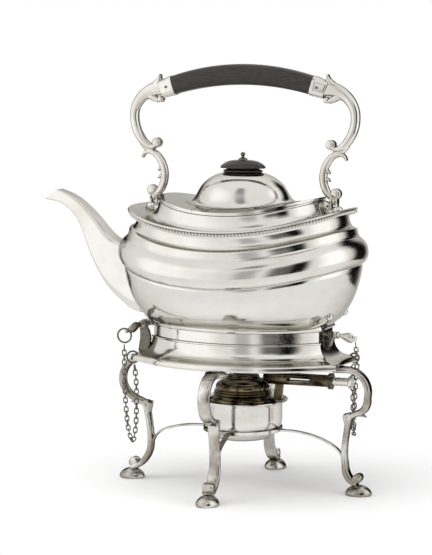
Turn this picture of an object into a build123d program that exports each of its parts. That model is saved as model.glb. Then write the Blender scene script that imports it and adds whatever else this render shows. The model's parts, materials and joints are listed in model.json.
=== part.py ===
from build123d import *
import os
from math import atan2, copysign, cos, degrees, hypot, pi, radians, sin, sqrt

# A tilting table kettle on its stand, with a spirit lamp below. Millimetres, +Z up.
# The origin is on the table under the middle of the stand. The spout points to -X.

# Clearances
RUNNING_FIT = 0.06          # radial play of a pin in its bore
GAP = 0.3                   # play between pieces that move past each other
SHEET = 1.4                 # thickness of the raised silver sheet

# Plan of the kettle and the stand: every level is shorter across than along by this much
LENGTH_SURPLUS = 20.0

# Stand frame
FRAME_BOTTOM = 99.6         # height of its lower edge
FRAME_EDGE_HEIGHT = 4.6     # plain band along the lower edge
FRAME_HEIGHT = 19.7
FRAME_TOP = FRAME_BOTTOM + FRAME_HEIGHT   # ledge that the kettle stands on
FRAME_TOP_LENGTH = 69.4     # half length at the ledge
FRAME_FLARE = 12.6          # how far the hollow moulding spreads
FRAME_CORNER = 17.3         # half width of the short ends at the ledge
CORNER_SPREAD = 0.73        # widening of the short ends for each mm of spread
FRAME_WALL = 1.7
LEDGE_WIDTH = 6.6

# Legs, each in its own upright plane
LEG_WIDTH = 10.4
LEG_THICKNESS = 5.0
SCROLL_RADIUS = 13.7        # centre line of the C scroll at the top of a leg
SCROLL_OFFSET = 3.1         # scroll centre beyond the frame's edge
LEG_TUCK = 6.0              # how far the scroll reaches in under the frame
KNEE_HEIGHT = 64.0
WAIST_HEIGHT = 42.0
WAIST_INSET = 5.3
TOE_REACH = 12.4            # toe beyond the frame's edge
TOE_HEIGHT = 8.6
TOE_BALL = 4.1
PAD_LENGTH = 20.4
PAD_WIDTH = 17.4
PAD_HEIGHT = 7.0
PAD_REACH = 13.4            # pad centre beyond the frame's edge

# Lamp ring and the thin stretchers that hold it
RING_HEIGHT = 3.0
RING_TOP = 48.4             # the cup's shoulder rests on it
RING_BORE = 28.4            # radius
RING_WALL = 2.7
STRETCHER_WIDTH = 4.2
STRETCHER_THICKNESS = 1.7
STRETCHER_FOOT = 30.0       # height where it leaves the leg

# Spirit lamp
CUP_RADIUS = 31.0
CUP_TOP = RING_TOP + 20.6
CUP_BOTTOM = RING_TOP - 9.8
CUP_WALL = 1.3
BASE_RADIUS = 18.0          # flat bottom of the cup
FLANGE_RADIUS = CUP_RADIUS + 4.6
FLANGE_THICKNESS = 1.4
DOME_RADIUS = 25.0
DOME_DRUM = 21.3
DOME_TOP = CUP_TOP + 21.4
DOME_WALL = 1.2
DOME_MOUTH = 10.0
WICK_RADIUS = 6.2
WICK_TUBE_WALL = 1.2
SLEEVE_DROP = 2.8           # axis of the regulator sleeve below the top of the burner
SLEEVE_HEIGHT = DOME_TOP - SLEEVE_DROP
SLEEVE_RADIUS = 4.8
SLEEVE_BORE = 3.3
SLEEVE_END = 74.0
SLEEVE_SLOT = (37.5, 56.5)
SLEEVE_SLOT_HEIGHT = 2.2
SLEEVE_FLANGE = 6.4
ROD_START = 58.0
KNOB_END = 90.0
KNOB_RADIUS = 4.8
KNOB_THICKNESS = 2.8

# Kettle
FOOT_LENGTH = FRAME_TOP_LENGTH - 1.2      # half length of the foot band
FOOT_CORNER = FRAME_CORNER - 0.5
FOOT_BAND_HEIGHT = 8.0
FOOT_MOULDING = 2.2         # how far the moulding stands out
FOOT_HEIGHT = 12.0
KETTLE_FLOOR = FRAME_TOP + GAP + FOOT_HEIGHT
BODY_SQUARENESS = 2.25      # 2 is an ellipse, more is squarer
RIM_SQUARENESS = 2.7
PLATE_SQUARENESS = 2.35
OVAL_POINTS = 16

# Outside of the kettle, from its floor up: height above the floor, half length, rise of the ends
FLOOR_LINE = (0.0, 72.5, 0.0)
HEEL_LINES = [(5.0, 79.8, 2.4)]
BELLY_LINES = [(12.8, 87.0, 6.1), (21.8, 91.2, 10.2), (30.2, 93.6, 14.2)]
CREASE_LINE = (31.4, 93.2, 14.8)
BULGE_LINES = [(33.2, 95.4, 15.0), (38.0, 97.7, 15.0), (44.2, 97.8, 15.0), (49.6, 94.8, 15.0)]
STEP_LINES = [(53.4, 90.6, 15.0), (59.2, 89.4, 15.0), (60.6, 86.3, 15.0)]
NECK_LINES = [(65.0, 83.6, 15.0), (70.8, 84.2, 15.0)]
RIM_LINES = [(71.4, 87.4, 15.0), (74.4, 87.8, 15.0)]
DISH_LINES = [(74.0, 83.4, 14.4), (73.0, 78.5, 13.2)]
COLLAR_LINES = [(75.0, 74.6, 12.6), (81.0, 71.7, 12.0)]
PLATE_LINE = (87.7, 70.8, 11.5)
BLANK_HEIGHT = 128.4        # the blank is cut back to the lines above
PLATE_HEIGHT = KETTLE_FLOOR + PLATE_LINE[0]

# Cast leaf at each lower end of the body: half outline across and up, from its tip down
LEAF_THICKNESS = 1.7
LEAF_OUTLINE = [(0, 15.4), (4, 10.4), (9, 7.9), (13, 3.4), (19, 0.8), (0, 0.1)]

# Lid
LID_OPENING_LENGTH = 42.5   # half length of the oval part of the opening
LID_OPENING_WIDTH = 37.5
LID_LIP = 23.0              # half length of the straight lips front and back
# Height above the kettle's floor and half length of the dome
DOME_LINES = [(82.4, 42.0), (89.9, 41.3), (97.0, 38.8), (105.8, 32.6), (113.0, 24.2)]
LID_TOP = KETTLE_FLOOR + 116.4
DOME_SURPLUS = 7.0          # the dome is narrower than it is long by this much, each side
PLATE_REACH = 20.0          # half height of the tool that cuts the lid from the top sheet
LID_HINGE_Y = 47.4
LID_HINGE_RADIUS = 2.0
LID_HINGE_PIN = 0.8
LID_KNUCKLE = 14.0          # length of the lid's own knuckle
LEAF_KNUCKLE = 6.0          # length of each fixed knuckle
FINIAL_BASE = (14.3, 8.6, 2.4)
FINIAL_DISC = (18.2, 11.2, 6.4)
FINIAL_NUT_RADIUS = 3.5
FINIAL_BALL = 1.9
FINIAL_NUT_HEIGHT = 6.4
FINIAL_SCREW = 1.2

# Swing handle
PIVOT_X = 74.6
PIVOT_HEIGHT = PLATE_HEIGHT + 7.5
PIVOT_PIN = 1.2
EYE_RADIUS = 3.2
EYE_THICKNESS = 2.2
CHEEK_THICKNESS = 1.5
LUG_WIDTH = 7.2
LUG_ROOT = 16.8             # how far the lug's blank goes down, to be cut to the shoulder
GRIP_RADIUS = 199.7         # centre line of the bent wooden grip
GRIP_APEX = PIVOT_HEIGHT + 96.1           # height of that line at the middle
GRIP_ANGLE = 16.6           # half of the grip's arc
GRIP_DEPTH = 12.6
GRIP_HEIGHTS = (16.2, 14.6) # at the middle and at the ends
GRIP_CORNER = 3.4
FERRULE_ANGLE = 3.3
FERRULE_WALL = 0.9
RIVET_RADIUS = 1.1
# Scrolls, as places from the pivot in the XZ plane at the +X end
UPPER_SCROLL = [(-6.4, 85.2), (1.4, 83.8), (9.9, 78.8), (15.4, 70.8), (16.6, 62.8), (15.0, 53.8),
                (10.4, 45.4), (5.0, 40.6), (-0.1, 38.8)]
UPPER_SCROLL_THICKNESS = [12.6, 10.4, 8.8, 7.4, 7.0, 7.0, 6.6, 5.4, 3.6]
UPPER_CURL = (-2.7, 42.6, 3.9)
LOWER_SCROLL = [(9.0, 32.1), (4.4, 35.2), (-1.6, 33.6), (-6.8, 26.8), (-8.8, 19.2), (-7.2, 12.2),
                (-2.2, 6.4), (1.6, 4.6)]
LOWER_SCROLL_THICKNESS = [1.6, 3.4, 4.6, 5.0, 5.0, 4.8, 4.2, 3.4]
LOWER_CURL = (4.4, 7.2, 3.6)
SCROLL_DEPTH = 7.0
BAR_SIDES = 6
BAR_LENGTHS = 14            # straight lengths that make up a cast scroll

# Spout, in the upright middle plane: lower edge, upper edge, both above the kettle's floor, half width
SPOUT_SECTIONS = [((-76.0, 3.9), (-84.0, 54.4), 12.0), ((-96.5, 9.9), (-101.5, 58.9), 11.5),
                  ((-114.5, 25.9), (-109.0, 62.4), 10.6), ((-126.0, 45.4), (-116.0, 68.9), 9.6),
                  ((-133.0, 64.9), (-124.5, 77.9), 8.6), ((-140.5, 77.4), (-134.5, 88.9), 7.8),
                  ((-152.0, 88.0), (-146.5, 96.4), 7.2), ((-168.0, 91.4), (-157.0, 99.4), 6.8)]
SPOUT_WALL = 1.1
SPOUT_CORNER = 2.0
STRAINER_HOLE = 1.7
STRAINER_PITCH = 6.0
STRAINER_MIDDLE = 33.4      # above the kettle's floor

# Tilting hinge at the spout end and the locking pin at the other end
HINGE_X = -(FRAME_TOP_LENGTH + 7.1)
HINGE_RISE = 8.6            # of the hinge above the ledge
HINGE_HEIGHT = FRAME_TOP + HINGE_RISE
HINGE_PIN_RADIUS = 1.6
KNUCKLE_RADIUS = 3.4
KNUCKLE_HALF = 17.4
POST_THICKNESS = 3.0
LOCK_RISE = 4.3             # of the locking pin above the ledge
LOCK_HEIGHT = FRAME_TOP + LOCK_RISE
LOCK_PIN_RADIUS = 1.5
LOCK_PIN_START = FOOT_LENGTH - 6.2
LOCK_LUG_NEAR = FRAME_TOP_LENGTH + 1.4
LOCK_LUG_THICKNESS = 4.6
LOCK_LUG_WIDTH = 10.0
EYE_OF_PIN = 2.7            # outer radius of the eye at the end of each pin
EYE_HOLE = 1.35
HINGE_THUMB = 27.0          # length of the thumb piece
LOCK_THUMB = 11.5

# Rings and chains
RING_WIRE = 0.65
PIN_RING = 5.6
FRAME_RING = 5.2
LINK_WIRE = 0.85
LINK_INNER_LENGTH = 4.4
LINK_INNER_WIDTH = 2.4
LINK_PITCH = 3.9
LEFT_CHAIN_LOW = 37.6       # lowest points of the hanging chains
RIGHT_CHAIN_LOW = 46.6
CHAIN_BESIDE_LEG = 3.6      # from the leg's side to the middle of the chain


# Shared shapes

def level_line(line, squareness):
    """Closed oval line round the kettle, whose ends lie higher than its middle."""
    height, half_length, rise = on_floor(line)
    half_width = half_length - LENGTH_SURPLUS
    points = []
    for step in range(OVAL_POINTS):
        angle = 2 * pi * step / OVAL_POINTS
        along = copysign(abs(cos(angle)) ** (2 / squareness), cos(angle))
        across = copysign(abs(sin(angle)) ** (2 / squareness), sin(angle))
        points.append((half_length * along, half_width * across, height + rise * along ** 2))
    return Wire([Spline(*points, periodic=True)])


def ellipse_line(height, half_length, half_width):
    """Flat ellipse at one height."""
    return Wire.make_ellipse(half_length, half_width, Plane.XY.offset(height))


def bowed_plan(height, half_length, corner):
    """Outline with two bowed long sides and two short straight ends."""
    half_width = half_length - LENGTH_SURPLUS
    front = ThreePointArc((-half_length, -corner), (0, -half_width), (half_length, -corner))
    right = Line((half_length, -corner), (half_length, corner))
    back = ThreePointArc((half_length, corner), (0, half_width), (-half_length, corner))
    left = Line((-half_length, corner), (-half_length, -corner))
    return Wire([front, right, back, left]).moved(Location((0, 0, height)))


def frame_plan(height, half_length):
    """The stand's outline: its corners follow one mitre line."""
    corner = FRAME_CORNER + CORNER_SPREAD * (half_length - FRAME_TOP_LENGTH)
    return bowed_plan(height, half_length, corner)


def stacked(lines):
    """Solid between closed lines, straight from each one to the next."""
    return Solid.make_loft(lines, True)


def on_floor(line):
    """A line measured from the kettle's floor, at its height above the table."""
    return (KETTLE_FLOOR + line[0],) + tuple(line[1:])


def above(line):
    """Everything above a level that sweeps up to both ends like a boat's gunwale."""
    height, half_length, rise = on_floor(line)
    reach = 2 * half_length
    lift = height + rise * (reach / half_length) ** 2
    arc = ThreePointArc((-reach, lift), (0, height), (reach, lift))
    lid = Polyline((reach, lift), (reach, lift + reach), (-reach, lift + reach), (-reach, lift))
    return extrude(Plane.XZ * make_face([arc, lid]), amount=reach, both=True)


def lowered(line, drop, inset):
    """The same level line moved down and inwards."""
    height, half_length, rise = line
    return (height - drop, half_length - inset, rise)


def bar(path, thicknesses, depth):
    """Cast bar along a line in the XZ plane, with a many-sided section that changes along it."""
    sections = []
    for index in range(BAR_LENGTHS + 1):
        where = index / BAR_LENGTHS
        place = Plane(origin=path @ where, x_dir=(0, 1, 0), z_dir=path % where)
        thickness = between(thicknesses, where)
        corners = []
        for side in range(BAR_SIDES):
            angle = 2 * pi * (side + 0.5) / BAR_SIDES
            corners.append((depth / 2 * cos(angle) / cos(pi / BAR_SIDES),
                            thickness / 2 * sin(angle) / cos(pi / BAR_SIDES)))
        sections.append(place * Polygon(*corners, align=None))
    return loft(sections, ruled=True)


def between(values, where):
    """Value at a share of the way along a list of evenly spaced values."""
    place = where * (len(values) - 1)
    low = min(int(place), len(values) - 2)
    return values[low] + (values[low + 1] - values[low]) * (place - low)


def from_pivot(points):
    """Points of the XZ plane, given from the handle's pivot."""
    return [(PIVOT_X + x, 0, PIVOT_HEIGHT + z) for x, z in points]


def cylinder_along_x(radius, start, end, y, z):
    disc = Plane(origin=(start, y, z), x_dir=(0, 1, 0), z_dir=(1, 0, 0)) * Circle(radius)
    return extrude(disc, amount=end - start)


def cylinder_along_y(radius, start, end, x, z):
    disc = Plane(origin=(x, start, z), x_dir=(1, 0, 0), z_dir=(0, 1, 0)) * Circle(radius)
    return extrude(disc, amount=end - start)


def wire_ring(radius, wire):
    """Twelve-sided wire ring about Z."""
    outline = RegularPolygon(radius + wire, 12) - RegularPolygon(radius - wire, 12)
    return extrude(outline, amount=wire, both=True)


def volute(radius, depth, x, z):
    """Rolled end of a scroll: a short round bar across it."""
    return cylinder_along_y(radius, -depth / 2, depth / 2, x, z)


def spun(points):
    """Solid of revolution about Z, from an outline given as radius and height."""
    outline = Plane.XZ * make_face(Polyline(*points, close=True))
    return revolve(outline, axis=Axis.Z)


def chamfered(width, height, cut):
    """Rectangle with its corners cut off, centred."""
    x, y = width / 2, height / 2
    return Polygon((x, cut - y), (x, y - cut), (x - cut, y), (cut - x, y), (-x, y - cut), (-x, cut - y),
                   (cut - x, -y), (x - cut, -y), align=None)


def block(x0, x1, y0, y1, z0, z1):
    return Pos((x0 + x1) / 2, (y0 + y1) / 2, (z0 + z1) / 2) * Box(x1 - x0, y1 - y0, z1 - z0)


def mirrored_pair(shape):
    """The shape at +X and its mirror image at -X."""
    return shape, mirror(shape, about=Plane.YZ)


# Stand

def frame_outside():
    edge_length = FRAME_TOP_LENGTH + FRAME_FLARE
    cove_bottom = FRAME_BOTTOM + FRAME_EDGE_HEIGHT
    cove_height = FRAME_TOP - cove_bottom
    lines = [frame_plan(FRAME_BOTTOM, edge_length), frame_plan(cove_bottom, edge_length - 1.0)]
    for share in (0.05, 0.25, 0.55, 1.0):
        spread = (FRAME_FLARE - 1.4) * (1 - sqrt(1 - (1 - share) ** 2))
        lines.append(frame_plan(cove_bottom + cove_height * share, FRAME_TOP_LENGTH + spread))
    return stacked(lines)


def stand_frame(corner_rings):
    """Mitred skirt with a hollow moulding and a ledge for the kettle's foot."""
    edge_length = FRAME_TOP_LENGTH + FRAME_FLARE
    cove_bottom = FRAME_BOTTOM + FRAME_EDGE_HEIGHT
    ledge_bottom = FRAME_TOP - FRAME_WALL
    hollow = stacked([
        frame_plan(FRAME_BOTTOM - 1, edge_length - FRAME_WALL + 0.2),
        frame_plan(cove_bottom - FRAME_WALL, edge_length - 1.0 - FRAME_WALL),
        frame_plan(cove_bottom + 0.42 * (ledge_bottom - cove_bottom), FRAME_TOP_LENGTH + 0.6),
        frame_plan(ledge_bottom, FRAME_TOP_LENGTH - FRAME_WALL),
    ])
    opening = stacked([
        frame_plan(ledge_bottom - 1, FRAME_TOP_LENGTH - LEDGE_WIDTH),
        frame_plan(FRAME_TOP + 1, FRAME_TOP_LENGTH - LEDGE_WIDTH),
    ])
    frame = frame_outside() - hollow - opening
    for x, y, turn in corner_rings:
        hole = Cylinder(RING_WIRE + 2 * GAP, 4 * FRAME_WALL)
        frame -= Pos(x, y, ring_height()) * Rot(0, 0, turn) * Pos(-copysign(FRAME_RING, x), 0, 0) * hole
    return frame


def ring_height():
    return FRAME_BOTTOM + 3.0


def leg_scroll_path(edge):
    """C scroll from under the frame's edge, out and back in to the knee."""
    centre_x = edge + SCROLL_OFFSET
    top = FRAME_BOTTOM - LEG_THICKNESS / 2
    centre_z = top - SCROLL_RADIUS
    under = Line((edge - LEG_TUCK, 0, top), (centre_x, 0, top))
    bow = ThreePointArc((centre_x, 0, top), (centre_x + SCROLL_RADIUS, 0, centre_z),
                        (centre_x, 0, centre_z - SCROLL_RADIUS))
    tail = TangentArc((centre_x, 0, centre_z - SCROLL_RADIUS), (edge - 3.6, 0, KNEE_HEIGHT - 0.8),
                      tangent=(-1, 0, 0))
    return Wire([under, bow, tail])


def leg_shank_path(edge):
    """S curve from the knee in to the waist and out again to the toe."""
    return Spline((edge - 1.4, 0, KNEE_HEIGHT + 1.6), (edge - 4.2, 0, (KNEE_HEIGHT + WAIST_HEIGHT) / 2 + 1.5),
                  (edge - WAIST_INSET, 0, WAIST_HEIGHT), (edge - 4.0, 0, 27.0), (edge - 0.2, 0, 16.4),
                  (edge + 5.4, 0, 10.6), (edge + TOE_REACH, 0, TOE_HEIGHT))


def leg_strap(path):
    """Strap with a slightly raised middle, carried along the path."""
    half = LEG_WIDTH / 2
    deep = LEG_THICKNESS / 2
    start = Plane(origin=path @ 0, x_dir=(0, 1, 0), z_dir=path % 0)
    section = Polygon((-half, -deep * 0.4), (-half * 0.5, -deep), (half * 0.5, -deep), (half, -deep * 0.4),
                      (half, deep), (-half, deep), align=None)
    return sweep(start * section, path=path)


def leg(edge, turn, pad):
    scroll = leg_strap(leg_scroll_path(edge))
    shank = leg_strap(leg_shank_path(edge))
    whole = scroll + shank + volute(TOE_BALL, LEG_WIDTH - 2, edge + TOE_REACH - 1.2, TOE_HEIGHT + 4.4)
    return Rot(0, 0, turn) * whole - pad


def foot_pad(edge, turn):
    rows = [(0.0, 0.96), (1.6, 1.0), (4.4, 0.72), (PAD_HEIGHT, 0.32)]
    lines = [ellipse_line(height, PAD_LENGTH / 2 * size, PAD_WIDTH / 2 * size) for height, size in rows]
    return Rot(0, 0, turn) * Pos(edge + PAD_REACH, 0, 0) * stacked(lines)


def stretcher(edge, turn, leg_solid):
    """Thin strip that springs up from the leg and runs level to the lamp ring."""
    start = (edge - WAIST_INSET - LEG_THICKNESS / 2 + 1.6, 0, STRETCHER_FOOT)
    end = (RING_BORE + RING_WALL - 0.6, 0, RING_TOP - RING_HEIGHT / 2)
    path = Spline(start, end, tangents=[(-0.3, 0, 1.0), (-1.0, 0, 0.06)], tangent_scalars=[1.2, 1.0])
    place = Plane(origin=start, x_dir=(0, 1, 0), z_dir=path % 0)
    strip = sweep(place * Rectangle(STRETCHER_WIDTH, STRETCHER_THICKNESS), path=path)
    ring_space = Pos(0, 0, RING_TOP - RING_HEIGHT / 2) * Cylinder(RING_BORE + RING_WALL, RING_HEIGHT * 3)
    return Rot(0, 0, turn) * strip - leg_solid - ring_space


def lamp_ring():
    ring = Cylinder(RING_BORE + RING_WALL, RING_HEIGHT) - Cylinder(RING_BORE, RING_HEIGHT)
    return Pos(0, 0, RING_TOP - RING_HEIGHT / 2) * ring


def hinge_post(side, outside):
    """Ear of the stand that holds the hinge pin, in front of or behind the kettle's knuckle."""
    near = side * (KNUCKLE_HALF + GAP)
    far = near + side * POST_THICKNESS
    low, high = min(near, far), max(near, far)
    round_top = cylinder_along_y(KNUCKLE_RADIUS, low, high, HINGE_X, HINGE_HEIGHT)
    stem = block(HINGE_X - KNUCKLE_RADIUS, HINGE_X + KNUCKLE_RADIUS * 0.9, low, high,
                 FRAME_BOTTOM + 4, HINGE_HEIGHT)
    bore = cylinder_along_y(HINGE_PIN_RADIUS + RUNNING_FIT, low - 1, high + 1, HINGE_X, HINGE_HEIGHT)
    return round_top + stem - bore - outside


def lock_lug(outside):
    """Upright ear at the far end of the stand, bored for the locking pin."""
    far = LOCK_LUG_NEAR + LOCK_LUG_THICKNESS
    half = LOCK_LUG_WIDTH / 2
    crown = cylinder_along_x(half, LOCK_LUG_NEAR, far, 0, LOCK_HEIGHT)
    stem = block(LOCK_LUG_NEAR, far, -half * 1.3, half * 1.3, FRAME_BOTTOM + 6, LOCK_HEIGHT - 3)
    neck = block(LOCK_LUG_NEAR, far, -half, half, LOCK_HEIGHT - 4, LOCK_HEIGHT)
    bore = cylinder_along_x(LOCK_PIN_RADIUS + RUNNING_FIT, LOCK_LUG_NEAR - 1, far + 1, 0, LOCK_HEIGHT)
    return crown + stem + neck - bore - outside


# Pins, rings and chains

def thumb_piece(length, start_radius):
    """Flattened baluster along +X from the origin, ending in an eye."""
    rows = [(0.0, 1.0, 1.0), (0.14, 0.9, 0.9), (0.4, 1.15, 0.8), (0.72, 1.5, 0.75), (1.0, 0.75, 0.7)]
    sections = []
    for share, tall, wide in rows:
        place = Plane(origin=(length * share, 0, 0), x_dir=(0, 1, 0), z_dir=(1, 0, 0))
        sections.append(place * chamfered(2 * start_radius * wide, 2 * start_radius * tall, start_radius * 0.55))
    body = loft(sections, ruled=True)
    centre = length + EYE_OF_PIN - 0.8
    eye = Pos(centre, 0, 0) * Rot(90, 0, 0) * (Cylinder(EYE_OF_PIN, 2.2) - Cylinder(EYE_HOLE, 4))
    return body + eye


def eye_offset(length):
    return length + EYE_OF_PIN - 0.8


def hinge_pin():
    """Loose pin through both posts and the knuckle, with its thumb piece to the front."""
    front = -(KNUCKLE_HALF + GAP + POST_THICKNESS + 0.3)
    shaft = cylinder_along_y(HINGE_PIN_RADIUS, front, -front, HINGE_X, HINGE_HEIGHT)
    collar = cylinder_along_y(HINGE_PIN_RADIUS * 1.9, front - 1.6, front, HINGE_X, HINGE_HEIGHT)
    thumb = Pos(HINGE_X, front - 1.6, HINGE_HEIGHT) * Rot(0, 0, -90) * thumb_piece(HINGE_THUMB, 2.7)
    return shaft + collar + thumb


def hinge_eye_y():
    return -(KNUCKLE_HALF + GAP + POST_THICKNESS + 0.3) - 1.6 - eye_offset(HINGE_THUMB)


def hinge_pin_ring():
    centre = Pos(HINGE_X, hinge_eye_y(), HINGE_HEIGHT - PIN_RING)
    return centre * Rot(90, 0, 0) * wire_ring(PIN_RING, RING_WIRE)


def lock_pin():
    """Sliding pin through the lug into the slot of the kettle's foot."""
    shoulder = LOCK_LUG_NEAR + LOCK_LUG_THICKNESS + 0.3
    shaft = cylinder_along_x(LOCK_PIN_RADIUS, LOCK_PIN_START, shoulder, 0, LOCK_HEIGHT)
    collar = cylinder_along_x(LOCK_PIN_RADIUS * 2, shoulder, shoulder + 1.6, 0, LOCK_HEIGHT)
    thumb = Pos(shoulder + 1.6, 0, LOCK_HEIGHT) * thumb_piece(LOCK_THUMB, 2.5)
    return shaft + collar + thumb


def lock_eye_x():
    return LOCK_LUG_NEAR + LOCK_LUG_THICKNESS + 0.3 + 1.6 + eye_offset(LOCK_THUMB)


def chain_link():
    """One flat link in the XZ plane, its length along X: a long hexagon with a hexagonal hole."""
    def hexagon(length, width):
        slope = width / 2 / 1.73
        return Polygon((length / 2, 0), (length / 2 - slope, width / 2), (slope - length / 2, width / 2),
                       (-length / 2, 0), (slope - length / 2, -width / 2), (length / 2 - slope, -width / 2),
                       align=None)
    outer = hexagon(LINK_INNER_LENGTH + 2.3 * LINK_WIRE, LINK_INNER_WIDTH + 2 * LINK_WIRE)
    inner = hexagon(LINK_INNER_LENGTH, LINK_INNER_WIDTH)
    return extrude(Plane.XZ * (outer - inner), amount=LINK_WIRE / 2, both=True)


def chain(points, side):
    """Links threaded through each other along a hanging line, each turned a quarter from the last."""
    path = Spline(*points)
    count = round(path.length / LINK_PITCH) - 1
    pitch = path.length / (count + 1)
    link = chain_link()
    links = []
    for index in range(count):
        run = pitch * (index + 1)
        forward = path.tangent_at(run, position_mode=PositionMode.LENGTH)
        across = Vector(*side) - forward * Vector(*side).dot(forward)
        place = Plane(origin=path.position_at(run, position_mode=PositionMode.LENGTH),
                      x_dir=forward, z_dir=across)
        quarter = Rot(90 * (index % 2) + 20, 0, 0)
        links.append(place.location * quarter * link)
    return Compound(links), count


def chain_lines(left_corner, right_corner):
    """Hanging lines of both chains, from the pin's end to the ring on the frame."""
    left_top = (HINGE_X, hinge_eye_y(), HINGE_HEIGHT - 2 * PIN_RING)
    left_end = (left_corner[0], left_corner[1], ring_height() - FRAME_RING)
    low = LEFT_CHAIN_LOW
    left = [left_top, blend(left_top, left_end, 0.06, low + 48), blend(left_top, left_end, 0.2, low + 14),
            blend(left_top, left_end, 0.5, low), blend(left_top, left_end, 0.8, low + 14),
            blend(left_top, left_end, 0.94, low + 42), left_end]
    right_top = (lock_eye_x(), 0, LOCK_HEIGHT - EYE_HOLE - 0.8)
    right_end = (right_corner[0], right_corner[1], ring_height() - FRAME_RING)
    beside_leg = LEG_WIDTH / 2 + CHAIN_BESIDE_LEG
    low = RIGHT_CHAIN_LOW
    bottom_y = beside_leg + 6.4
    eye = lock_eye_x()
    right = [right_top, (eye + 0.6, 3.4, LOCK_HEIGHT - 10.6), (eye, beside_leg - 0.4, FRAME_BOTTOM + 2.4),
             (eye - 1.2, beside_leg + 0.4, (FRAME_BOTTOM + low) / 2 + 10.9), (eye - 2.6, beside_leg + 1.6, low + 14),
             (eye - 4.2, bottom_y, low), (eye - 6.2, right_end[1] - 3.6, low + 14),
             (right_end[0] + 1.0, right_end[1] - 0.8, low + 36), right_end]
    return left, right


def blend(start, end, share, height):
    """Point over the line between two points, at its own height."""
    return (start[0] + (end[0] - start[0]) * share, start[1] + (end[1] - start[1]) * share, height)


# Lamp

def lamp_cup():
    """Spun spirit cup whose shoulder rests on the lamp ring."""
    bowl = RING_BORE - 0.5
    seat = RING_TOP + 0.25
    with BuildPart() as cup:
        with BuildSketch(Plane.XZ):
            with BuildLine():
                Polyline((0, CUP_BOTTOM), (BASE_RADIUS, CUP_BOTTOM), (bowl - 3.4, CUP_BOTTOM + 2.4),
                         (bowl, seat - 3.6), (bowl, seat), (CUP_RADIUS - 1.4, seat), (CUP_RADIUS, seat + 4.5),
                         (CUP_RADIUS, CUP_TOP), (CUP_RADIUS - CUP_WALL, CUP_TOP),
                         (CUP_RADIUS - CUP_WALL, seat + 4.5 + CUP_WALL), (bowl - CUP_WALL, seat + CUP_WALL),
                         (bowl - CUP_WALL, seat - 3.6), (BASE_RADIUS + 3, CUP_BOTTOM + CUP_WALL),
                         (0, CUP_BOTTOM + CUP_WALL), close=True)
            make_face()
        revolve(axis=Axis.Z)
    return cup.part


def lamp_flange():
    top = CUP_TOP + FLANGE_THICKNESS
    hole = DOME_RADIUS - 4.2
    return spun([(hole, CUP_TOP), (FLANGE_RADIUS - 0.6, CUP_TOP), (FLANGE_RADIUS, CUP_TOP + 0.6),
                 (FLANGE_RADIUS - 0.4, top), (hole, top)])


def burner_dome():
    """Stepped cover of the burner, open at the top for the wick tube."""
    base = CUP_TOP + FLANGE_THICKNESS
    bore = WICK_RADIUS + WICK_TUBE_WALL + 0.1
    inside = [(bore, DOME_TOP), (bore, DOME_TOP - DOME_WALL), (DOME_DRUM - 2.8, base + 15.0),
              (DOME_DRUM - DOME_WALL, base + 13.4), (DOME_RADIUS - 3 - DOME_WALL, base + 5.4),
              (DOME_RADIUS - DOME_WALL, base)]
    return spun(burner_profile() + inside)


def burner_profile():
    """Outside of the burner's cover, from the flange up to its mouth: flare, bead, drum and top."""
    base = CUP_TOP + FLANGE_THICKNESS
    return [(DOME_RADIUS, base), (DOME_RADIUS - 3.0, base + 6.0), (DOME_DRUM + 1.2, base + 7.4),
            (DOME_DRUM + 1.2, base + 8.2), (DOME_DRUM, base + 8.8), (DOME_DRUM, base + 14.0),
            (DOME_DRUM - 2.2, base + 16.4), (DOME_MOUTH + 3, DOME_TOP - 1.6), (DOME_MOUTH, DOME_TOP)]


def wick_tube():
    tube = Cylinder(WICK_RADIUS + WICK_TUBE_WALL, DOME_TOP + 0.8 - CUP_BOTTOM - 14)
    bore = Cylinder(WICK_RADIUS + 0.05, 80)
    collar = Pos(0, 0, CUP_TOP - 0.8) * (Cylinder(DOME_RADIUS - 3.2, 1.6) - Cylinder(WICK_RADIUS + 1, 3))
    return Pos(0, 0, (DOME_TOP + 0.8 + CUP_BOTTOM + 14) / 2) * (tube - bore) + collar


def wick():
    return Pos(0, 0, (DOME_TOP + 1.4 + CUP_BOTTOM + 4) / 2) * Cylinder(WICK_RADIUS, DOME_TOP + 1.4 - CUP_BOTTOM - 4)


def regulator_sleeve():
    """Slotted tube that leaves the burner's side, with an end flange."""
    start = DOME_DRUM - 3.0
    tube = cylinder_along_x(SLEEVE_RADIUS, start, SLEEVE_END, 0, SLEEVE_HEIGHT)
    flange = cylinder_along_x(SLEEVE_FLANGE, SLEEVE_END - 2.6, SLEEVE_END, 0, SLEEVE_HEIGHT)
    bore = cylinder_along_x(SLEEVE_BORE, start - 1, SLEEVE_END + 1, 0, SLEEVE_HEIGHT)
    half = SLEEVE_SLOT_HEIGHT / 2
    slot = block(SLEEVE_SLOT[0], SLEEVE_SLOT[1], -10, 10, SLEEVE_HEIGHT - half, SLEEVE_HEIGHT + half)
    return tube + flange - bore - slot - burner_outside()


def burner_outside():
    return spun([(0, CUP_TOP + FLANGE_THICKNESS)] + burner_profile() + [(0, DOME_TOP)])


def sleeve_bracket():
    """Small web that props the sleeve on the flange."""
    base = CUP_TOP + FLANGE_THICKNESS
    web = make_face(Polyline((DOME_RADIUS + 0.6, base), (FLANGE_RADIUS - 3, base), (FLANGE_RADIUS - 1.5, SLEEVE_HEIGHT),
                             (DOME_RADIUS + 3, SLEEVE_HEIGHT), close=True))
    solid = extrude(Plane.XZ * web, amount=1.3, both=True)
    return solid - cylinder_along_x(SLEEVE_RADIUS, 0, SLEEVE_END, 0, SLEEVE_HEIGHT) - burner_outside()


def regulator_rod():
    return cylinder_along_x(SLEEVE_BORE - RUNNING_FIT, ROD_START, KNOB_END - KNOB_THICKNESS, 0, SLEEVE_HEIGHT)


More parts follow.
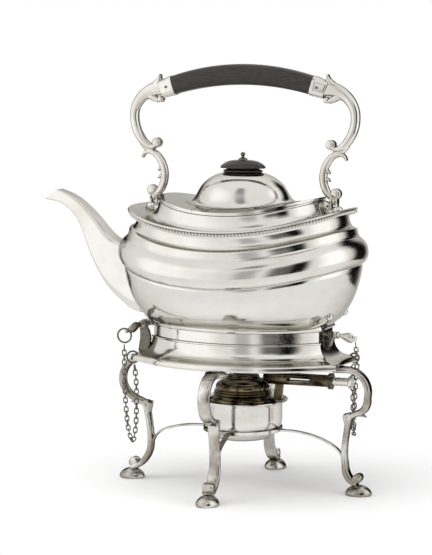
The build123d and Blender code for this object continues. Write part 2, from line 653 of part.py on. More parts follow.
def regulator_knob():
    knob = cylinder_along_x(KNOB_RADIUS, KNOB_END - KNOB_THICKNESS, KNOB_END, 0, SLEEVE_HEIGHT)
    return chamfer(knob.edges(), 0.5)


# Kettle

def kettle_outside():
    lines = [FLOOR_LINE] + HEEL_LINES + BELLY_LINES + [CREASE_LINE] + BULGE_LINES + STEP_LINES + NECK_LINES
    wires = [level_line(line, BODY_SQUARENESS) for line in lines]
    wires += [level_line(line, RIM_SQUARENESS) for line in RIM_LINES]
    wires += [level_line(line, PLATE_SQUARENESS) for line in DISH_LINES + COLLAR_LINES + [PLATE_LINE]]
    wires.append(level_line((BLANK_HEIGHT, PLATE_LINE[1], 0.0), PLATE_SQUARENESS))
    return stacked(wires)


def kettle_inside():
    """The water space, one sheet thickness inside the outer form."""
    lines = [lowered(FLOOR_LINE, -SHEET, -1.0), lowered(BELLY_LINES[0], 0, SHEET)]
    lines += [lowered(line, 0, SHEET) for line in (BELLY_LINES[2], BULGE_LINES[2])]
    lines += [lowered(line, SHEET, SHEET) for line in (BULGE_LINES[3], STEP_LINES[1], NECK_LINES[0])]
    lines.append(lowered(NECK_LINES[1], SHEET, SHEET * 2))
    wires = [level_line(line, BODY_SQUARENESS) for line in lines]
    for line in (COLLAR_LINES[0], PLATE_LINE):
        wires.append(level_line(lowered(line, 0, SHEET), PLATE_SQUARENESS))
    wires.append(level_line((BLANK_HEIGHT + 1, PLATE_LINE[1] - SHEET, 0.0), PLATE_SQUARENESS))
    return stacked(wires)


def strainer_holes():
    """Six-sided holes punched through the body's end wall, behind the root of the spout."""
    holes = []
    for row in range(-1, 2):
        for column in range(-1, 2):
            place = Plane(origin=(-FLOOR_LINE[1], column * STRAINER_PITCH,
                                  KETTLE_FLOOR + STRAINER_MIDDLE + row * STRAINER_PITCH),
                          x_dir=(0, 1, 0), z_dir=(-1, 0, 0))
            holes.append(extrude(place * RegularPolygon(STRAINER_HOLE, 6), amount=FLOOR_LINE[1] / 2))
    return holes


def spout_form(inset, overshoot):
    """Smooth swan-neck form through rectangular sections with rounded corners."""
    sections = []
    last = len(SPOUT_SECTIONS) - 1
    for index, (lower, upper, half_width) in enumerate(SPOUT_SECTIONS):
        middle = ((lower[0] + upper[0]) / 2, KETTLE_FLOOR + (lower[1] + upper[1]) / 2)
        tall = hypot(upper[0] - lower[0], upper[1] - lower[1])
        up = ((upper[0] - lower[0]) / tall, (upper[1] - lower[1]) / tall)
        outwards = (-up[1], up[0])
        shift = overshoot if index == last else 0.0
        place = Plane(origin=(middle[0] + outwards[0] * shift, 0, middle[1] + outwards[1] * shift),
                      x_dir=(0, 1, 0), z_dir=(outwards[0], 0, outwards[1]))
        sections.append(place * chamfered(2 * (half_width - inset), tall - 2 * inset,
                                          SPOUT_CORNER - inset * 0.6))
    return loft(sections)


def spout(body_blank):
    return spout_form(0, 0) - spout_form(SPOUT_WALL, 0.5) - body_blank


def foot_band():
    """Upright band under the kettle with a moulding along its top, slotted for the locking pin."""
    bottom = FRAME_TOP + GAP
    moulding = bottom + FOOT_BAND_HEIGHT
    middle = (moulding + KETTLE_FLOOR) / 2
    out = FOOT_LENGTH + FOOT_MOULDING
    outer = stacked([bowed_plan(bottom, FOOT_LENGTH, FOOT_CORNER),
                     bowed_plan(moulding, FOOT_LENGTH, FOOT_CORNER),
                     bowed_plan(moulding + 0.5, out - 0.6, FOOT_CORNER),
                     bowed_plan(middle, out, FOOT_CORNER),
                     bowed_plan(KETTLE_FLOOR, out - 0.8, FOOT_CORNER)])
    inner = stacked([bowed_plan(bottom - 1, FOOT_LENGTH - SHEET, FOOT_CORNER - 0.6),
                     bowed_plan(KETTLE_FLOOR + 1, FOOT_LENGTH - SHEET, FOOT_CORNER - 0.6)])
    half = LOCK_PIN_RADIUS + GAP
    near, far = FOOT_LENGTH - LEG_WIDTH, FOOT_LENGTH + LEG_WIDTH
    slot = block(near, far, -half, half, bottom - 1, LOCK_HEIGHT)
    slot_head = cylinder_along_x(half, near, far, 0, LOCK_HEIGHT)
    return outer - inner - slot - slot_head


def hinge_knuckle():
    """Barrel on the kettle's foot that turns on the hinge pin."""
    barrel = cylinder_along_y(KNUCKLE_RADIUS, -KNUCKLE_HALF, KNUCKLE_HALF, HINGE_X, HINGE_HEIGHT)
    web = block(HINGE_X, -FOOT_LENGTH, -KNUCKLE_HALF * 0.8, KNUCKLE_HALF * 0.8,
                HINGE_HEIGHT - 2.6, HINGE_HEIGHT + 1.4)
    bore = cylinder_along_y(HINGE_PIN_RADIUS + RUNNING_FIT, -2 * KNUCKLE_HALF, 2 * KNUCKLE_HALF,
                            HINGE_X, HINGE_HEIGHT)
    inside = stacked([bowed_plan(FRAME_TOP, FOOT_LENGTH, FOOT_CORNER),
                      bowed_plan(KETTLE_FLOOR, FOOT_LENGTH, FOOT_CORNER)])
    moulding_space = stacked([bowed_plan(FRAME_TOP + GAP + FOOT_BAND_HEIGHT, FOOT_LENGTH + 2.3, FOOT_CORNER + 3),
                              bowed_plan(KETTLE_FLOOR, FOOT_LENGTH + 2.3, FOOT_CORNER + 3)])
    return barrel + (web - moulding_space) - bore - inside


def end_leaf(body_blank, spout_blank, side):
    """Cast leaf that hugs the lower end of the body above the foot."""
    swollen = stacked([level_line(lowered(line, 0, -LEAF_THICKNESS), BODY_SQUARENESS)
                       for line in [FLOOR_LINE] + HEEL_LINES + BELLY_LINES[:2]])
    half = [(y, KETTLE_FLOOR + z) for y, z in LEAF_OUTLINE]
    other_half = [(-y, z) for y, z in reversed(half[1:-1])]
    near, far = FOOT_LENGTH / 2, BULGE_LINES[2][1] + 12
    outline = Plane.YZ.offset(side * near) * make_face(Polyline(*half, *other_half, close=True))
    leaf = extrude(outline, amount=side * (far - near))
    return (leaf & swollen) - body_blank - spout_blank


def lid_outline(clearance):
    oval = Ellipse(LID_OPENING_LENGTH - clearance, LID_OPENING_WIDTH - clearance)
    lips = Rectangle(2 * (LID_LIP - clearance), 2 * (PLATE_LINE[1] - LENGTH_SURPLUS) + 4)
    return oval + lips


def plate_cutter(outline):
    """Upright prism through the curved top sheet."""
    return extrude(Pos(0, 0, PLATE_HEIGHT - PLATE_REACH) * outline, amount=2 * PLATE_REACH)


def lid_dome(inset):
    lines = []
    for height, half_length in DOME_LINES:
        lines.append(ellipse_line(KETTLE_FLOOR + height - inset, half_length - inset, half_length - DOME_SURPLUS - inset))
    lines.append(ellipse_line(LID_TOP - inset, FINIAL_BASE[0] - 3, FINIAL_BASE[1] - 2.3))
    return stacked(lines)


def plate_region(body_blank):
    """The curved top sheet, edge to edge."""
    return body_blank - above(PLATE_LINE) - (body_blank - above(lowered(PLATE_LINE, SHEET, 0)))


def lid_hinge_height():
    return PLATE_HEIGHT + 0.4


def hinge_barrel(start, end, clearance=0.0):
    return cylinder_along_x(LID_HINGE_RADIUS + clearance, start, end, LID_HINGE_Y, lid_hinge_height())


def lid_shell(region):
    """Domed lid with straight lips that reach the edge of the top plate."""
    panel = region & plate_cutter(lid_outline(GAP))
    under = above(lowered(PLATE_LINE, SHEET, 0))
    dome = (lid_dome(0) & under) + panel
    hollow = lid_dome(SHEET)
    back = block(-LEAF_KNUCKLE * 4, LEAF_KNUCKLE * 4, LID_HINGE_Y - LID_HINGE_RADIUS - GAP,
                 2 * LID_HINGE_Y, PLATE_HEIGHT - PLATE_REACH, PLATE_HEIGHT + PLATE_REACH)
    screw = Cylinder(FINIAL_SCREW, 2 * LID_TOP + 100)
    return dome - hollow - back - screw


def lid_knuckle():
    """The lid's own knuckle on the hinge, with a tab soldered to the lid."""
    half = LID_KNUCKLE / 2
    barrel = hinge_barrel(-half, half)
    tab = block(-half, half, LID_HINGE_Y - 7, LID_HINGE_Y, lid_hinge_height() - 0.15, lid_hinge_height() + 0.9)
    bore = cylinder_along_x(LID_HINGE_PIN + RUNNING_FIT, -LID_KNUCKLE, LID_KNUCKLE, LID_HINGE_Y,
                            lid_hinge_height())
    return barrel + tab - bore


def lid_hinge_leaf(body_blank):
    """Fixed knuckles at the back edge of the top plate."""
    leaf = None
    inner = LID_KNUCKLE / 2 + 0.2
    for side in (-1, 1):
        start, end = sorted((side * inner, side * (inner + LEAF_KNUCKLE)))
        foot = block(start, end, LID_HINGE_Y, LID_HINGE_Y + 4.6, lid_hinge_height() - 6,
                     lid_hinge_height())
        knuckle = hinge_barrel(start, end) + foot
        leaf = knuckle if leaf is None else leaf + knuckle
    bore = cylinder_along_x(LID_HINGE_PIN, -2 * LID_KNUCKLE, 2 * LID_KNUCKLE, LID_HINGE_Y, lid_hinge_height())
    return leaf - bore - (body_blank - above(PLATE_LINE))


def lid_hinge_pin():
    end = LID_KNUCKLE / 2 + 0.2 + LEAF_KNUCKLE
    return cylinder_along_x(LID_HINGE_PIN, -end, end, LID_HINGE_Y, lid_hinge_height())


# Handle

def handle_lug():
    """Forked lug that stands on the dished shoulder and holds one end of the handle."""
    half = LUG_WIDTH / 2
    inner = PIVOT_X - EYE_THICKNESS / 2 - GAP
    outer = PIVOT_X + EYE_THICKNESS / 2 + GAP
    lug = None
    for near, far in ((inner - CHEEK_THICKNESS, inner), (outer, outer + CHEEK_THICKNESS)):
        cheek = cylinder_along_x(half, near, far, 0, PIVOT_HEIGHT)
        cheek += block(near, far, -half, half, PIVOT_HEIGHT - LUG_ROOT, PIVOT_HEIGHT)
        lug = cheek if lug is None else lug + cheek
    saddle = block(inner - CHEEK_THICKNESS, outer + CHEEK_THICKNESS + 2.0, -half, half,
                   PIVOT_HEIGHT - LUG_ROOT, PIVOT_HEIGHT - EYE_RADIUS - GAP - 1.2)
    bore = cylinder_along_x(PIVOT_PIN, inner - 10, outer + 10, 0, PIVOT_HEIGHT)
    return lug + saddle - bore


def handle_pin():
    reach = EYE_THICKNESS / 2 + GAP + CHEEK_THICKNESS
    return cylinder_along_x(PIVOT_PIN, PIVOT_X - reach, PIVOT_X + reach, 0, PIVOT_HEIGHT)


def grip_place(angle):
    """Plane across the grip's centre line, at an angle from the top."""
    turn = radians(angle)
    return Plane(origin=(GRIP_RADIUS * sin(turn), 0, GRIP_APEX - GRIP_RADIUS * (1 - cos(turn))),
                 x_dir=(0, 1, 0), z_dir=(cos(turn), 0, -sin(turn)))


def grip_section(angle, spare):
    share = (angle / GRIP_ANGLE) ** 2
    tall = GRIP_HEIGHTS[0] + (GRIP_HEIGHTS[1] - GRIP_HEIGHTS[0]) * share
    return grip_place(angle) * chamfered(GRIP_DEPTH + 2 * spare, tall + 2 * spare, GRIP_CORNER + spare * 0.6)


def grip_angles(start, end, count):
    return [start + (end - start) * index / (count - 1) for index in range(count)]


def grip():
    """Bent wooden grip with a tenon at each end."""
    body = loft([grip_section(angle, 0) for angle in grip_angles(-GRIP_ANGLE, GRIP_ANGLE, 7)])
    tenon_end = GRIP_ANGLE + FERRULE_ANGLE - 0.6
    for side in (-1, 1):
        ends = (side * GRIP_ANGLE, side * tenon_end)
        body += loft([grip_section(angle, -FERRULE_WALL - 0.05) for angle in ends])
    return body - rivets(0)


def ferrule(side):
    """Silver socket over the grip's tenon, closed at its outer end."""
    start, end = side * GRIP_ANGLE, side * (GRIP_ANGLE + FERRULE_ANGLE)
    floor = side * (GRIP_ANGLE + FERRULE_ANGLE - 0.6)
    shell = loft([grip_section(start, 0.15), grip_section(end, -0.4)])
    pocket = loft([grip_section(start, -FERRULE_WALL), grip_section(floor, -FERRULE_WALL)])
    return shell - pocket - rivets(0)


def rivets(extra):
    """Cross rivets through both ferrules and tenons."""
    half = GRIP_DEPTH / 2 + 0.5 + extra
    pair = None
    for side in (-1, 1):
        centre = grip_place(side * (GRIP_ANGLE + FERRULE_ANGLE * 0.45)).origin
        rivet = cylinder_along_y(RIVET_RADIUS, -half, half, centre.X, centre.Z)
        pair = rivet if pair is None else pair + rivet
    return pair


def scroll_bracket(ferrule_solid):
    """Double C scroll between the grip and its pivot, at the +X end."""
    upper = bar(Spline(*from_pivot(UPPER_SCROLL)), UPPER_SCROLL_THICKNESS, SCROLL_DEPTH)
    lower = bar(Spline(*from_pivot(LOWER_SCROLL)), LOWER_SCROLL_THICKNESS, SCROLL_DEPTH - 1.4)
    upper_curl = volute(UPPER_CURL[2], SCROLL_DEPTH, PIVOT_X + UPPER_CURL[0], PIVOT_HEIGHT + UPPER_CURL[1])
    lower_curl = volute(LOWER_CURL[2], SCROLL_DEPTH - 1, PIVOT_X + LOWER_CURL[0], PIVOT_HEIGHT + LOWER_CURL[1])
    eye = cylinder_along_x(EYE_RADIUS, PIVOT_X - EYE_THICKNESS / 2, PIVOT_X + EYE_THICKNESS / 2, 0,
                           PIVOT_HEIGHT)
    neck = block(PIVOT_X - EYE_THICKNESS / 2, PIVOT_X + EYE_THICKNESS / 2, -2.4, 2.4,
                 PIVOT_HEIGHT, PIVOT_HEIGHT + LOWER_SCROLL[-1][1] + 0.8)
    seam = PIVOT_HEIGHT + (UPPER_SCROLL[-1][1] + LOWER_SCROLL[1][1]) / 2
    bridge = block(PIVOT_X - 2.4, PIVOT_X + 3.6, -2.2, 2.2, seam - 2.4, seam + 2.6)
    bore = cylinder_along_x(PIVOT_PIN + RUNNING_FIT, PIVOT_X - EYE_RADIUS, PIVOT_X + EYE_RADIUS, 0, PIVOT_HEIGHT)
    return upper + lower + upper_curl + lower_curl + eye + neck + bridge - bore - ferrule_solid


# Finial

def oval_disc(base, half_length, half_width, height, bevel):
    lines = [ellipse_line(base, half_length, half_width),
             ellipse_line(base + height * 0.62, half_length - bevel * 0.5, half_width - bevel * 0.5),
             ellipse_line(base + height, half_length - bevel * 2.4, half_width - bevel * 2.0)]
    return stacked(lines) - Cylinder(FINIAL_SCREW, 2 * LID_TOP + 100)


def finial_heights():
    disc = LID_TOP + FINIAL_BASE[2]
    nut = disc + FINIAL_DISC[2]
    return LID_TOP, disc, nut


def finial_nut():
    _, _, nut = finial_heights()
    dome = spun([(0, nut), (FINIAL_NUT_RADIUS, nut), (FINIAL_NUT_RADIUS - 0.5, nut + 1.3),
                 (1.3, nut + 2.7), (0, nut + 2.7)])
    top = nut + FINIAL_NUT_HEIGHT
    ball = spun([(0, nut + 2), (1.1, nut + 2), (FINIAL_BALL, top - FINIAL_BALL * 1.4),
                 (FINIAL_BALL, top - FINIAL_BALL * 0.6), (1.0, top), (0, top)])
    return dome + ball - Pos(0, 0, nut - 8) * Cylinder(FINIAL_SCREW, 19.6)


def finial_screw():
    base, _, nut = finial_heights()
    head = base - SHEET
    length = nut + 1.8 - head
    shank = Pos(0, 0, head + length / 2) * Cylinder(FINIAL_SCREW, length)
    return shank + Pos(0, 0, head - 0.7) * Cylinder(2.6, 1.4)


# Assembly

def build_parts():
    parts = {}
    frame_length = FRAME_TOP_LENGTH + FRAME_FLARE
    frame_width = frame_length - LENGTH_SURPLUS
    corner_y = FRAME_CORNER + CORNER_SPREAD * FRAME_FLARE
    corner_turn = degrees(atan2(corner_y, frame_length))
    left_corner = (-frame_length + 0.6, -corner_y + 0.2, corner_turn)
    right_corner = (frame_length - 0.6, corner_y - 0.2, corner_turn)
    parts["stand_frame"] = stand_frame([left_corner, right_corner])
    rings = None
    for x, y, turn in (left_corner, right_corner):
        ring = Pos(x, y, ring_height()) * Rot(0, 0, turn) * Rot(90, 0, 0) * wire_ring(FRAME_RING, RING_WIRE)
        rings = ring if rings is None else rings + ring
    parts["frame_rings"] = rings

    outside = frame_outside()
    parts["hinge_post_front"] = hinge_post(-1, outside)
    parts["hinge_post_back"] = hinge_post(1, outside)
    parts["lock_lug"] = lock_lug(outside)
    sides = {"right": (frame_length, 0), "back": (frame_width, 90),
             "left": (frame_length, 180), "front": (frame_width, 270)}
    for side, (edge, turn) in sides.items():
        pad = foot_pad(edge, turn)
        limb = leg(edge, turn, pad)
        parts["foot_" + side] = pad
        parts["leg_" + side] = limb
        parts["stretcher_" + side] = stretcher(edge, turn, limb)
    parts["lamp_ring"] = lamp_ring()

    body_blank = kettle_outside()
    shell = body_blank - kettle_inside()
    rim_cut = lowered(NECK_LINES[1], -0.1, 0)
    body = shell - above(rim_cut)
    for hole in strainer_holes():
        body -= hole
    parts["kettle_body"] = body
    upper_shell = (shell & above(rim_cut)) - above(lowered(PLATE_LINE, SHEET, 0))
    parts["rim_and_collar"] = upper_shell
    region = plate_region(body_blank)
    parts["top_plate"] = region - plate_cutter(lid_outline(0))
    parts["foot_band"] = foot_band()
    parts["hinge_knuckle"] = hinge_knuckle()
    spout_blank = spout_form(0, 0)
    parts["spout"] = spout(body_blank)
    parts["end_leaf_right"] = end_leaf(body_blank, spout_blank, 1)
    parts["end_leaf_left"] = end_leaf(body_blank, spout_blank, -1)
    below_plate = body_blank - above(PLATE_LINE)
    for side, lug in zip(("right", "left"), mirrored_pair(handle_lug())):
        parts["handle_lug_" + side] = lug - below_plate
    pin_right, pin_left = mirrored_pair(handle_pin())
    parts["handle_pins"] = pin_right + pin_left
    parts["lid_hinge_leaf"] = lid_hinge_leaf(body_blank)
    parts["lid_hinge_pin"] = lid_hinge_pin()

    parts["lid_shell"] = lid_shell(region)
    parts["lid_knuckle"] = lid_knuckle() - parts["lid_shell"]
    base, disc, _ = finial_heights()
    parts["finial_base"] = oval_disc(base, *FINIAL_BASE, 0.4)
    parts["finial_disc"] = oval_disc(disc, *FINIAL_DISC, 2.0)
    parts["finial_nut"] = finial_nut()
    parts["finial_screw"] = finial_screw()

    parts["grip"] = grip()
    parts["ferrule_right"] = ferrule(1)
    parts["ferrule_left"] = ferrule(-1)
    parts["grip_rivets"] = rivets(0)
    parts["scroll_right"], parts["scroll_left"] = mirrored_pair(scroll_bracket(parts["ferrule_right"]))

    parts["hinge_pin"] = hinge_pin()
    parts["hinge_pin_ring"] = hinge_pin_ring()
    parts["lock_pin"] = lock_pin()
    left_points, right_points = chain_lines(left_corner, right_corner)
    parts["chain_left"], left_count = chain(left_points, (1, 0, 0))
    parts["chain_right"], right_count = chain(right_points, (1, 0, 0))
    print("chain links", left_count, right_count)

    parts["lamp_cup"] = lamp_cup()
    parts["lamp_flange"] = lamp_flange()
    parts["burner_dome"] = burner_dome()
    parts["wick_tube"] = wick_tube()
    parts["wick"] = wick()
    parts["regulator_sleeve"] = regulator_sleeve()
    parts["sleeve_bracket"] = sleeve_bracket()
    parts["regulator_rod"] = regulator_rod()
    parts["regulator_knob"] = regulator_knob()
    return parts


os.makedirs("parts", exist_ok=True)
for name, shape in build_parts().items():
    export_step(shape, "parts/" + name + ".step")
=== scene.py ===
"""A silver-plated tilting table kettle on its scroll-legged stand, with a spirit lamp below.

Sizes are millimetres in the numbers here and become metres when a mesh is made.
+Z is up, the spout points to -X, and the lid is hinged at the back, towards +Y.
"""

import json
import math

import bmesh
import bpy
import numpy as np
from bpy.props import FloatProperty, FloatVectorProperty, IntProperty, PointerProperty
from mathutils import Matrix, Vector


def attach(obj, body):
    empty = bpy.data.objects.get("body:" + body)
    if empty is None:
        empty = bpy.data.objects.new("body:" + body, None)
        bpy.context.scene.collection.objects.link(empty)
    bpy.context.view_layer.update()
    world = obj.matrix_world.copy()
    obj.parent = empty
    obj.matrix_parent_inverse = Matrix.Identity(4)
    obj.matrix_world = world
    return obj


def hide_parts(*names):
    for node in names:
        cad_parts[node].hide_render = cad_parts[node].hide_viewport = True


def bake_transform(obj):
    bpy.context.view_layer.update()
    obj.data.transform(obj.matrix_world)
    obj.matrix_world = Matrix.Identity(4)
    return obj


bl_info = {
    "name": "Tilting Table Kettle",
    "version": (1, 0, 0),
    "blender": (4, 5, 0),
    "location": "View3D > Sidebar > Kettle",
    "description": "Builds a silver tilting kettle with its stand, chains and spirit lamp",
    "category": "Add Mesh",
}

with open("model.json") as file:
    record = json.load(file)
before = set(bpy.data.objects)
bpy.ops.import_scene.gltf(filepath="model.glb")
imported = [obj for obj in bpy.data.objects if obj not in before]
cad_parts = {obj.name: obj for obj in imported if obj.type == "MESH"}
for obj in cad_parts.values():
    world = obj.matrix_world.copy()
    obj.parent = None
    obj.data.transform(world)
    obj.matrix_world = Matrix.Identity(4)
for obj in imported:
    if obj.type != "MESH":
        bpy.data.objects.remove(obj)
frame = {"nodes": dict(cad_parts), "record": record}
MM = 0.001


# Plan and levels shared with the frame

LENGTH_SURPLUS = 20.0           # every level is this much narrower than long, each side
BODY_SQUARENESS = 2.25
RIM_SQUARENESS = 2.7
SHEET = 1.4                     # thickness of the top sheets and of the lid
PLATE = (219.3, 70.8, 11.5)     # height at mid length, half length, rise of the ends
PLATE_CROWN = 2.8
PLATE_EDGE = (65.5, 51.7, 2.4)  # half length, half width and squareness of the sheets' outer edge
LEAST_WIDTH = 0.12              # least width of a level beside its length, in the middle of the floor


# Curves

def circle(count):
    """Angles of a full turn in equal steps."""
    return np.linspace(0, 2 * math.pi, count, endpoint=False)


def unit(vectors):
    """The same directions with a length of 1."""
    return vectors / np.linalg.norm(vectors, axis=-1, keepdims=True)


def through(points, steps=8):
    """Smooth line through points: cubic pieces with Catmull-Rom tangents on centripetal lengths."""
    p = np.asarray(points, float)
    h = np.maximum(np.linalg.norm(np.diff(p, axis=0), axis=1) ** 0.5, 1e-6)
    slope = np.diff(p, axis=0) / h[:, None]
    inner = (slope[:-1] * h[1:, None] + slope[1:] * h[:-1, None]) / (h[1:] + h[:-1])[:, None]
    tangent = np.vstack([slope[:1], inner, slope[-1:]])
    u = np.linspace(0, 1, steps, endpoint=False)[None, :, None]
    a, b = p[:-1, None], p[1:, None]
    ta, tb = tangent[:-1, None] * h[:, None, None], tangent[1:, None] * h[:, None, None]
    line = ((2 * u**3 - 3 * u**2 + 1) * a + (u**3 - 2 * u**2 + u) * ta
            + (3 * u**2 - 2 * u**3) * b + (u**3 - u**2) * tb)
    return np.vstack([line.reshape(-1, p.shape[1]), p[-1:]])


def runs(*parts):
    """One profile from several parts: a pair of points and steps is smoothed, a list is taken as it is."""
    return np.vstack([through(*part) if isinstance(part, tuple) else part for part in parts])


def both_ways(half, middle=()):
    """Profile of radius and distance from one end to the middle, and the same mirrored."""
    return [*half, *middle, *((radius, -distance) for radius, distance in half[::-1])]


def even(line, count):
    """The same line with points at equal lengths along it."""
    run = np.concatenate([[0], np.cumsum(np.linalg.norm(np.diff(line[:, :3], axis=0), axis=1))])
    wanted = np.linspace(0, run[-1], count)
    return np.stack([np.interp(wanted, run, line[:, k]) for k in range(line.shape[1])], axis=1)


def superellipse(squareness, columns):
    """Unit closed curve |x|^n + |y|^n = 1 as two arrays, where n may differ for each row."""
    n, t = np.reshape(squareness, (-1, 1)), circle(columns)
    x, y = (np.sign(wave) * np.abs(wave) ** (2 / n) for wave in (np.cos(t), np.sin(t)))
    return x, y


def outline_radius(direction, half_length, half_width, squareness):
    """Distance from the middle to a superellipse, along each direction."""
    x, y = np.abs(direction[:, 0]) / half_length, np.abs(direction[:, 1]) / half_width
    return (x**squareness + y**squareness) ** (-1 / squareness)


def boat_rows(rows, squareness, columns=192, surplus=LENGTH_SURPLUS):
    """Level lines of the kettle: a superellipse for each row (height, half length, rise), narrower by
    surplus, lifted towards both ends by rise times the square of the share of the length."""
    height, half, rise = np.asarray(rows, float).T[..., None]
    x, y = superellipse(squareness, columns)
    width = np.maximum(half - np.reshape(surplus, (-1, 1)), half * LEAST_WIDTH)
    return np.stack([x * half, y * width, height + rise * x**2], axis=-1)


def plate_height(x, y):
    """Sweeping top sheet: rises with the square of x and is crowned across, most at mid length."""
    across = np.clip(1 - (y / (PLATE[1] - LENGTH_SURPLUS)) ** 2, 0, 1)
    along = np.clip(1 - (x / PLATE[1]) ** 2, 0, 1)
    return PLATE[0] + PLATE[2] * (x / PLATE[1]) ** 2 + PLATE_CROWN * (across * along) ** 0.8


def spun(profile, columns=96, narrower=0.0):
    """Rows round a vertical axis, from a profile of radius and height: circles, or ellipses whose half
    width is less than their half length by narrower, but not less than half of it."""
    p = np.asarray(profile, float)
    t = circle(columns)
    width = np.maximum(p[:, :1] - narrower, p[:, :1] * 0.5)
    return np.stack([p[:, :1] * np.cos(t), width * np.sin(t), p[:, 1:2] + 0 * t], axis=-1)


def lying(points, start, direction="x"):
    """Turns rows spun about Z to lie along X or Y, and moves them to a start point."""
    x, y, z = points[..., 0], points[..., 1], points[..., 2]
    turned = {"x": (z, x, y), "y": (x, z, y), "-y": (x, -z, y)}[direction]
    return np.stack(turned, axis=-1) + np.asarray(start, float)


def carried(path, wide, thick, squareness=2.6, columns=24):
    """A superellipse carried along a path in an XZ plane: half widths across the plane, and half
    thicknesses in it, square to the path."""
    path, side = np.asarray(path, float), np.array([0.0, 1.0, 0.0])
    up = unit(np.cross(np.gradient(path, axis=0), side))
    x, y = superellipse(squareness, columns)
    wide, thick = (np.reshape(size, (-1, 1, 1)) for size in (wide, thick))
    return path[:, None] + x[..., None] * wide * side + y[..., None] * thick * up[:, None]


def xz(points):
    """Points of the XZ plane as points in space."""
    p = np.asarray(points, float)
    return np.stack([p[:, 0], np.zeros(len(p)), p[:, 1]], axis=1)


def turned(points, degrees_round):
    """Points turned about Z by degrees."""
    c, s = math.cos(math.radians(degrees_round)), math.sin(math.radians(degrees_round))
    x, y, z = points[..., 0], points[..., 1], points[..., 2]
    return np.stack([c * x - s * y, s * x + c * y, z], axis=-1)


# Meshes

def patch(points, around=(False, True), poles=(True, True)):
    """A grid of points with how it closes: rows or columns that meet, and ends that fan to a pole."""
    return points, around, poles


def loop(points):
    """A grid that closes both ways, as a ring does."""
    return patch(points, (True, True), (False, False))


def unit_ball(rows, columns):
    """Ball of radius 1 about the origin: circles of latitude between its poles."""
    lat, lon = np.linspace(-math.pi / 2, math.pi / 2, rows + 2)[1:-1, None], circle(columns)
    return np.stack([np.cos(lat) * np.cos(lon), np.cos(lat) * np.sin(lon), np.sin(lat) + 0 * lon], axis=-1)


def ball(centre, radii):
    """Ellipsoid about a centre."""
    return patch(unit_ball(14, 20) * radii + centre)


def grid_faces(rows, cols, around, poles, first):
    """Quads of a grid, and a fan of triangles to each pole."""
    index = first + np.arange(rows * cols).reshape(rows, cols)
    if around[1]:
        index = np.hstack([index, index[:, :1]])
    if around[0]:
        index = np.vstack([index, index[:1]])
    quads = np.stack([index[:-1, :-1], index[:-1, 1:], index[1:, 1:], index[1:, :-1]], axis=-1).reshape(-1, 4)
    fans = []
    for end, row in ((0, index[0]), (1, index[-1][::-1])):
        if poles[end]:
            hub = np.full(len(row) - 1, first + rows * cols + len(fans))
            fans.append(np.stack([row[1:], row[:-1], hub], axis=-1))
    return quads, fans


def piece(name, patches, body, *nodes, slot="silver_plate", finish=None, sharp=34, weld=True):
    """One object from its patches: welded, turned outwards, shaded smooth up to the sharp angle in degrees,
    riding on its body and standing for the CAD nodes named. The finish is the slot's own if none is named."""
    vertices, faces, first = [], [], 0
    for points, around, poles in patches:
        rows, cols, _ = points.shape
        quads, fans = grid_faces(rows, cols, around, poles, first)
        grid = points.reshape(-1, 3)
        hubs = [points[row].mean(axis=0)[None] for row, wanted in ((0, poles[0]), (-1, poles[1])) if wanted]
        vertices += [grid] + hubs
        faces += sum((fan.tolist() for fan in fans), quads.tolist())
        first += len(grid) + len(hubs)
    mesh = bpy.data.meshes.new(name)
    mesh.from_pydata((np.vstack(vertices) * MM).tolist(), [], faces)
    work = bmesh.new()
    work.from_mesh(mesh)
    if weld:
        bmesh.ops.remove_doubles(work, verts=work.verts, dist=2e-6)
    bmesh.ops.recalc_face_normals(work, faces=work.faces)
    work.to_mesh(mesh)
    work.free()
    mesh.polygons.foreach_set("use_smooth", np.ones(len(mesh.polygons), bool))
    mesh.set_sharp_from_angle(angle=math.radians(sharp))
    mesh.update()
    obj = bpy.data.objects.new(name, mesh)
    bpy.context.scene.collection.objects.link(obj)
    mesh.materials.append(MATERIALS[finish or slot])
    if body:
        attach(obj, body)
    if nodes:
        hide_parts(*nodes)
    return obj


# Materials

MATERIALS = {}


def linear(hex_colour, alpha=1.0):
    """sRGB hex to linear light."""
    value = [int(hex_colour[i:i + 2], 16) / 255 for i in (0, 2, 4)]
    return [c / 12.92 if c <= 0.04045 else ((c + 0.055) / 1.055) ** 2.4 for c in value] + [alpha]


def clean_tree(block):
    """Node tree of a material or world, emptied."""
    block.use_nodes = True
    block.node_tree.nodes.clear()
    return block.node_tree


def add_node(tree, kind, settings=None, *places, **inputs):
    """One shader node with its settings, and its inputs by place or by name: an input is a value, a socket,
    or a node, which gives the first output that it has in use."""
    node = tree.nodes.new("ShaderNode" + kind)
    for key, value in (settings or {}).items():
        setattr(node, key, value)
    for key, value in [*enumerate(places), *inputs.items()]:
        socket = node.inputs[key.replace("_", " ") if key in inputs else key]
        if isinstance(value, bpy.types.Node):
            value = next(output for output in value.outputs if output.enabled)
        if isinstance(value, bpy.types.NodeSocket):
            tree.links.new(value, socket)
        else:
            socket.default_value = value
    return node


TINTS = {"data_type": "RGBA"}    # settings of a node that mixes colours


def new_finish(name, slot):
    """Tree of a new material that is kept under its slot, and its place on the object in metres."""
    MATERIALS[slot] = bpy.data.materials.new(name)
    tree = clean_tree(MATERIALS[slot])
    return tree, add_node(tree, "TexCoord").outputs["Object"]


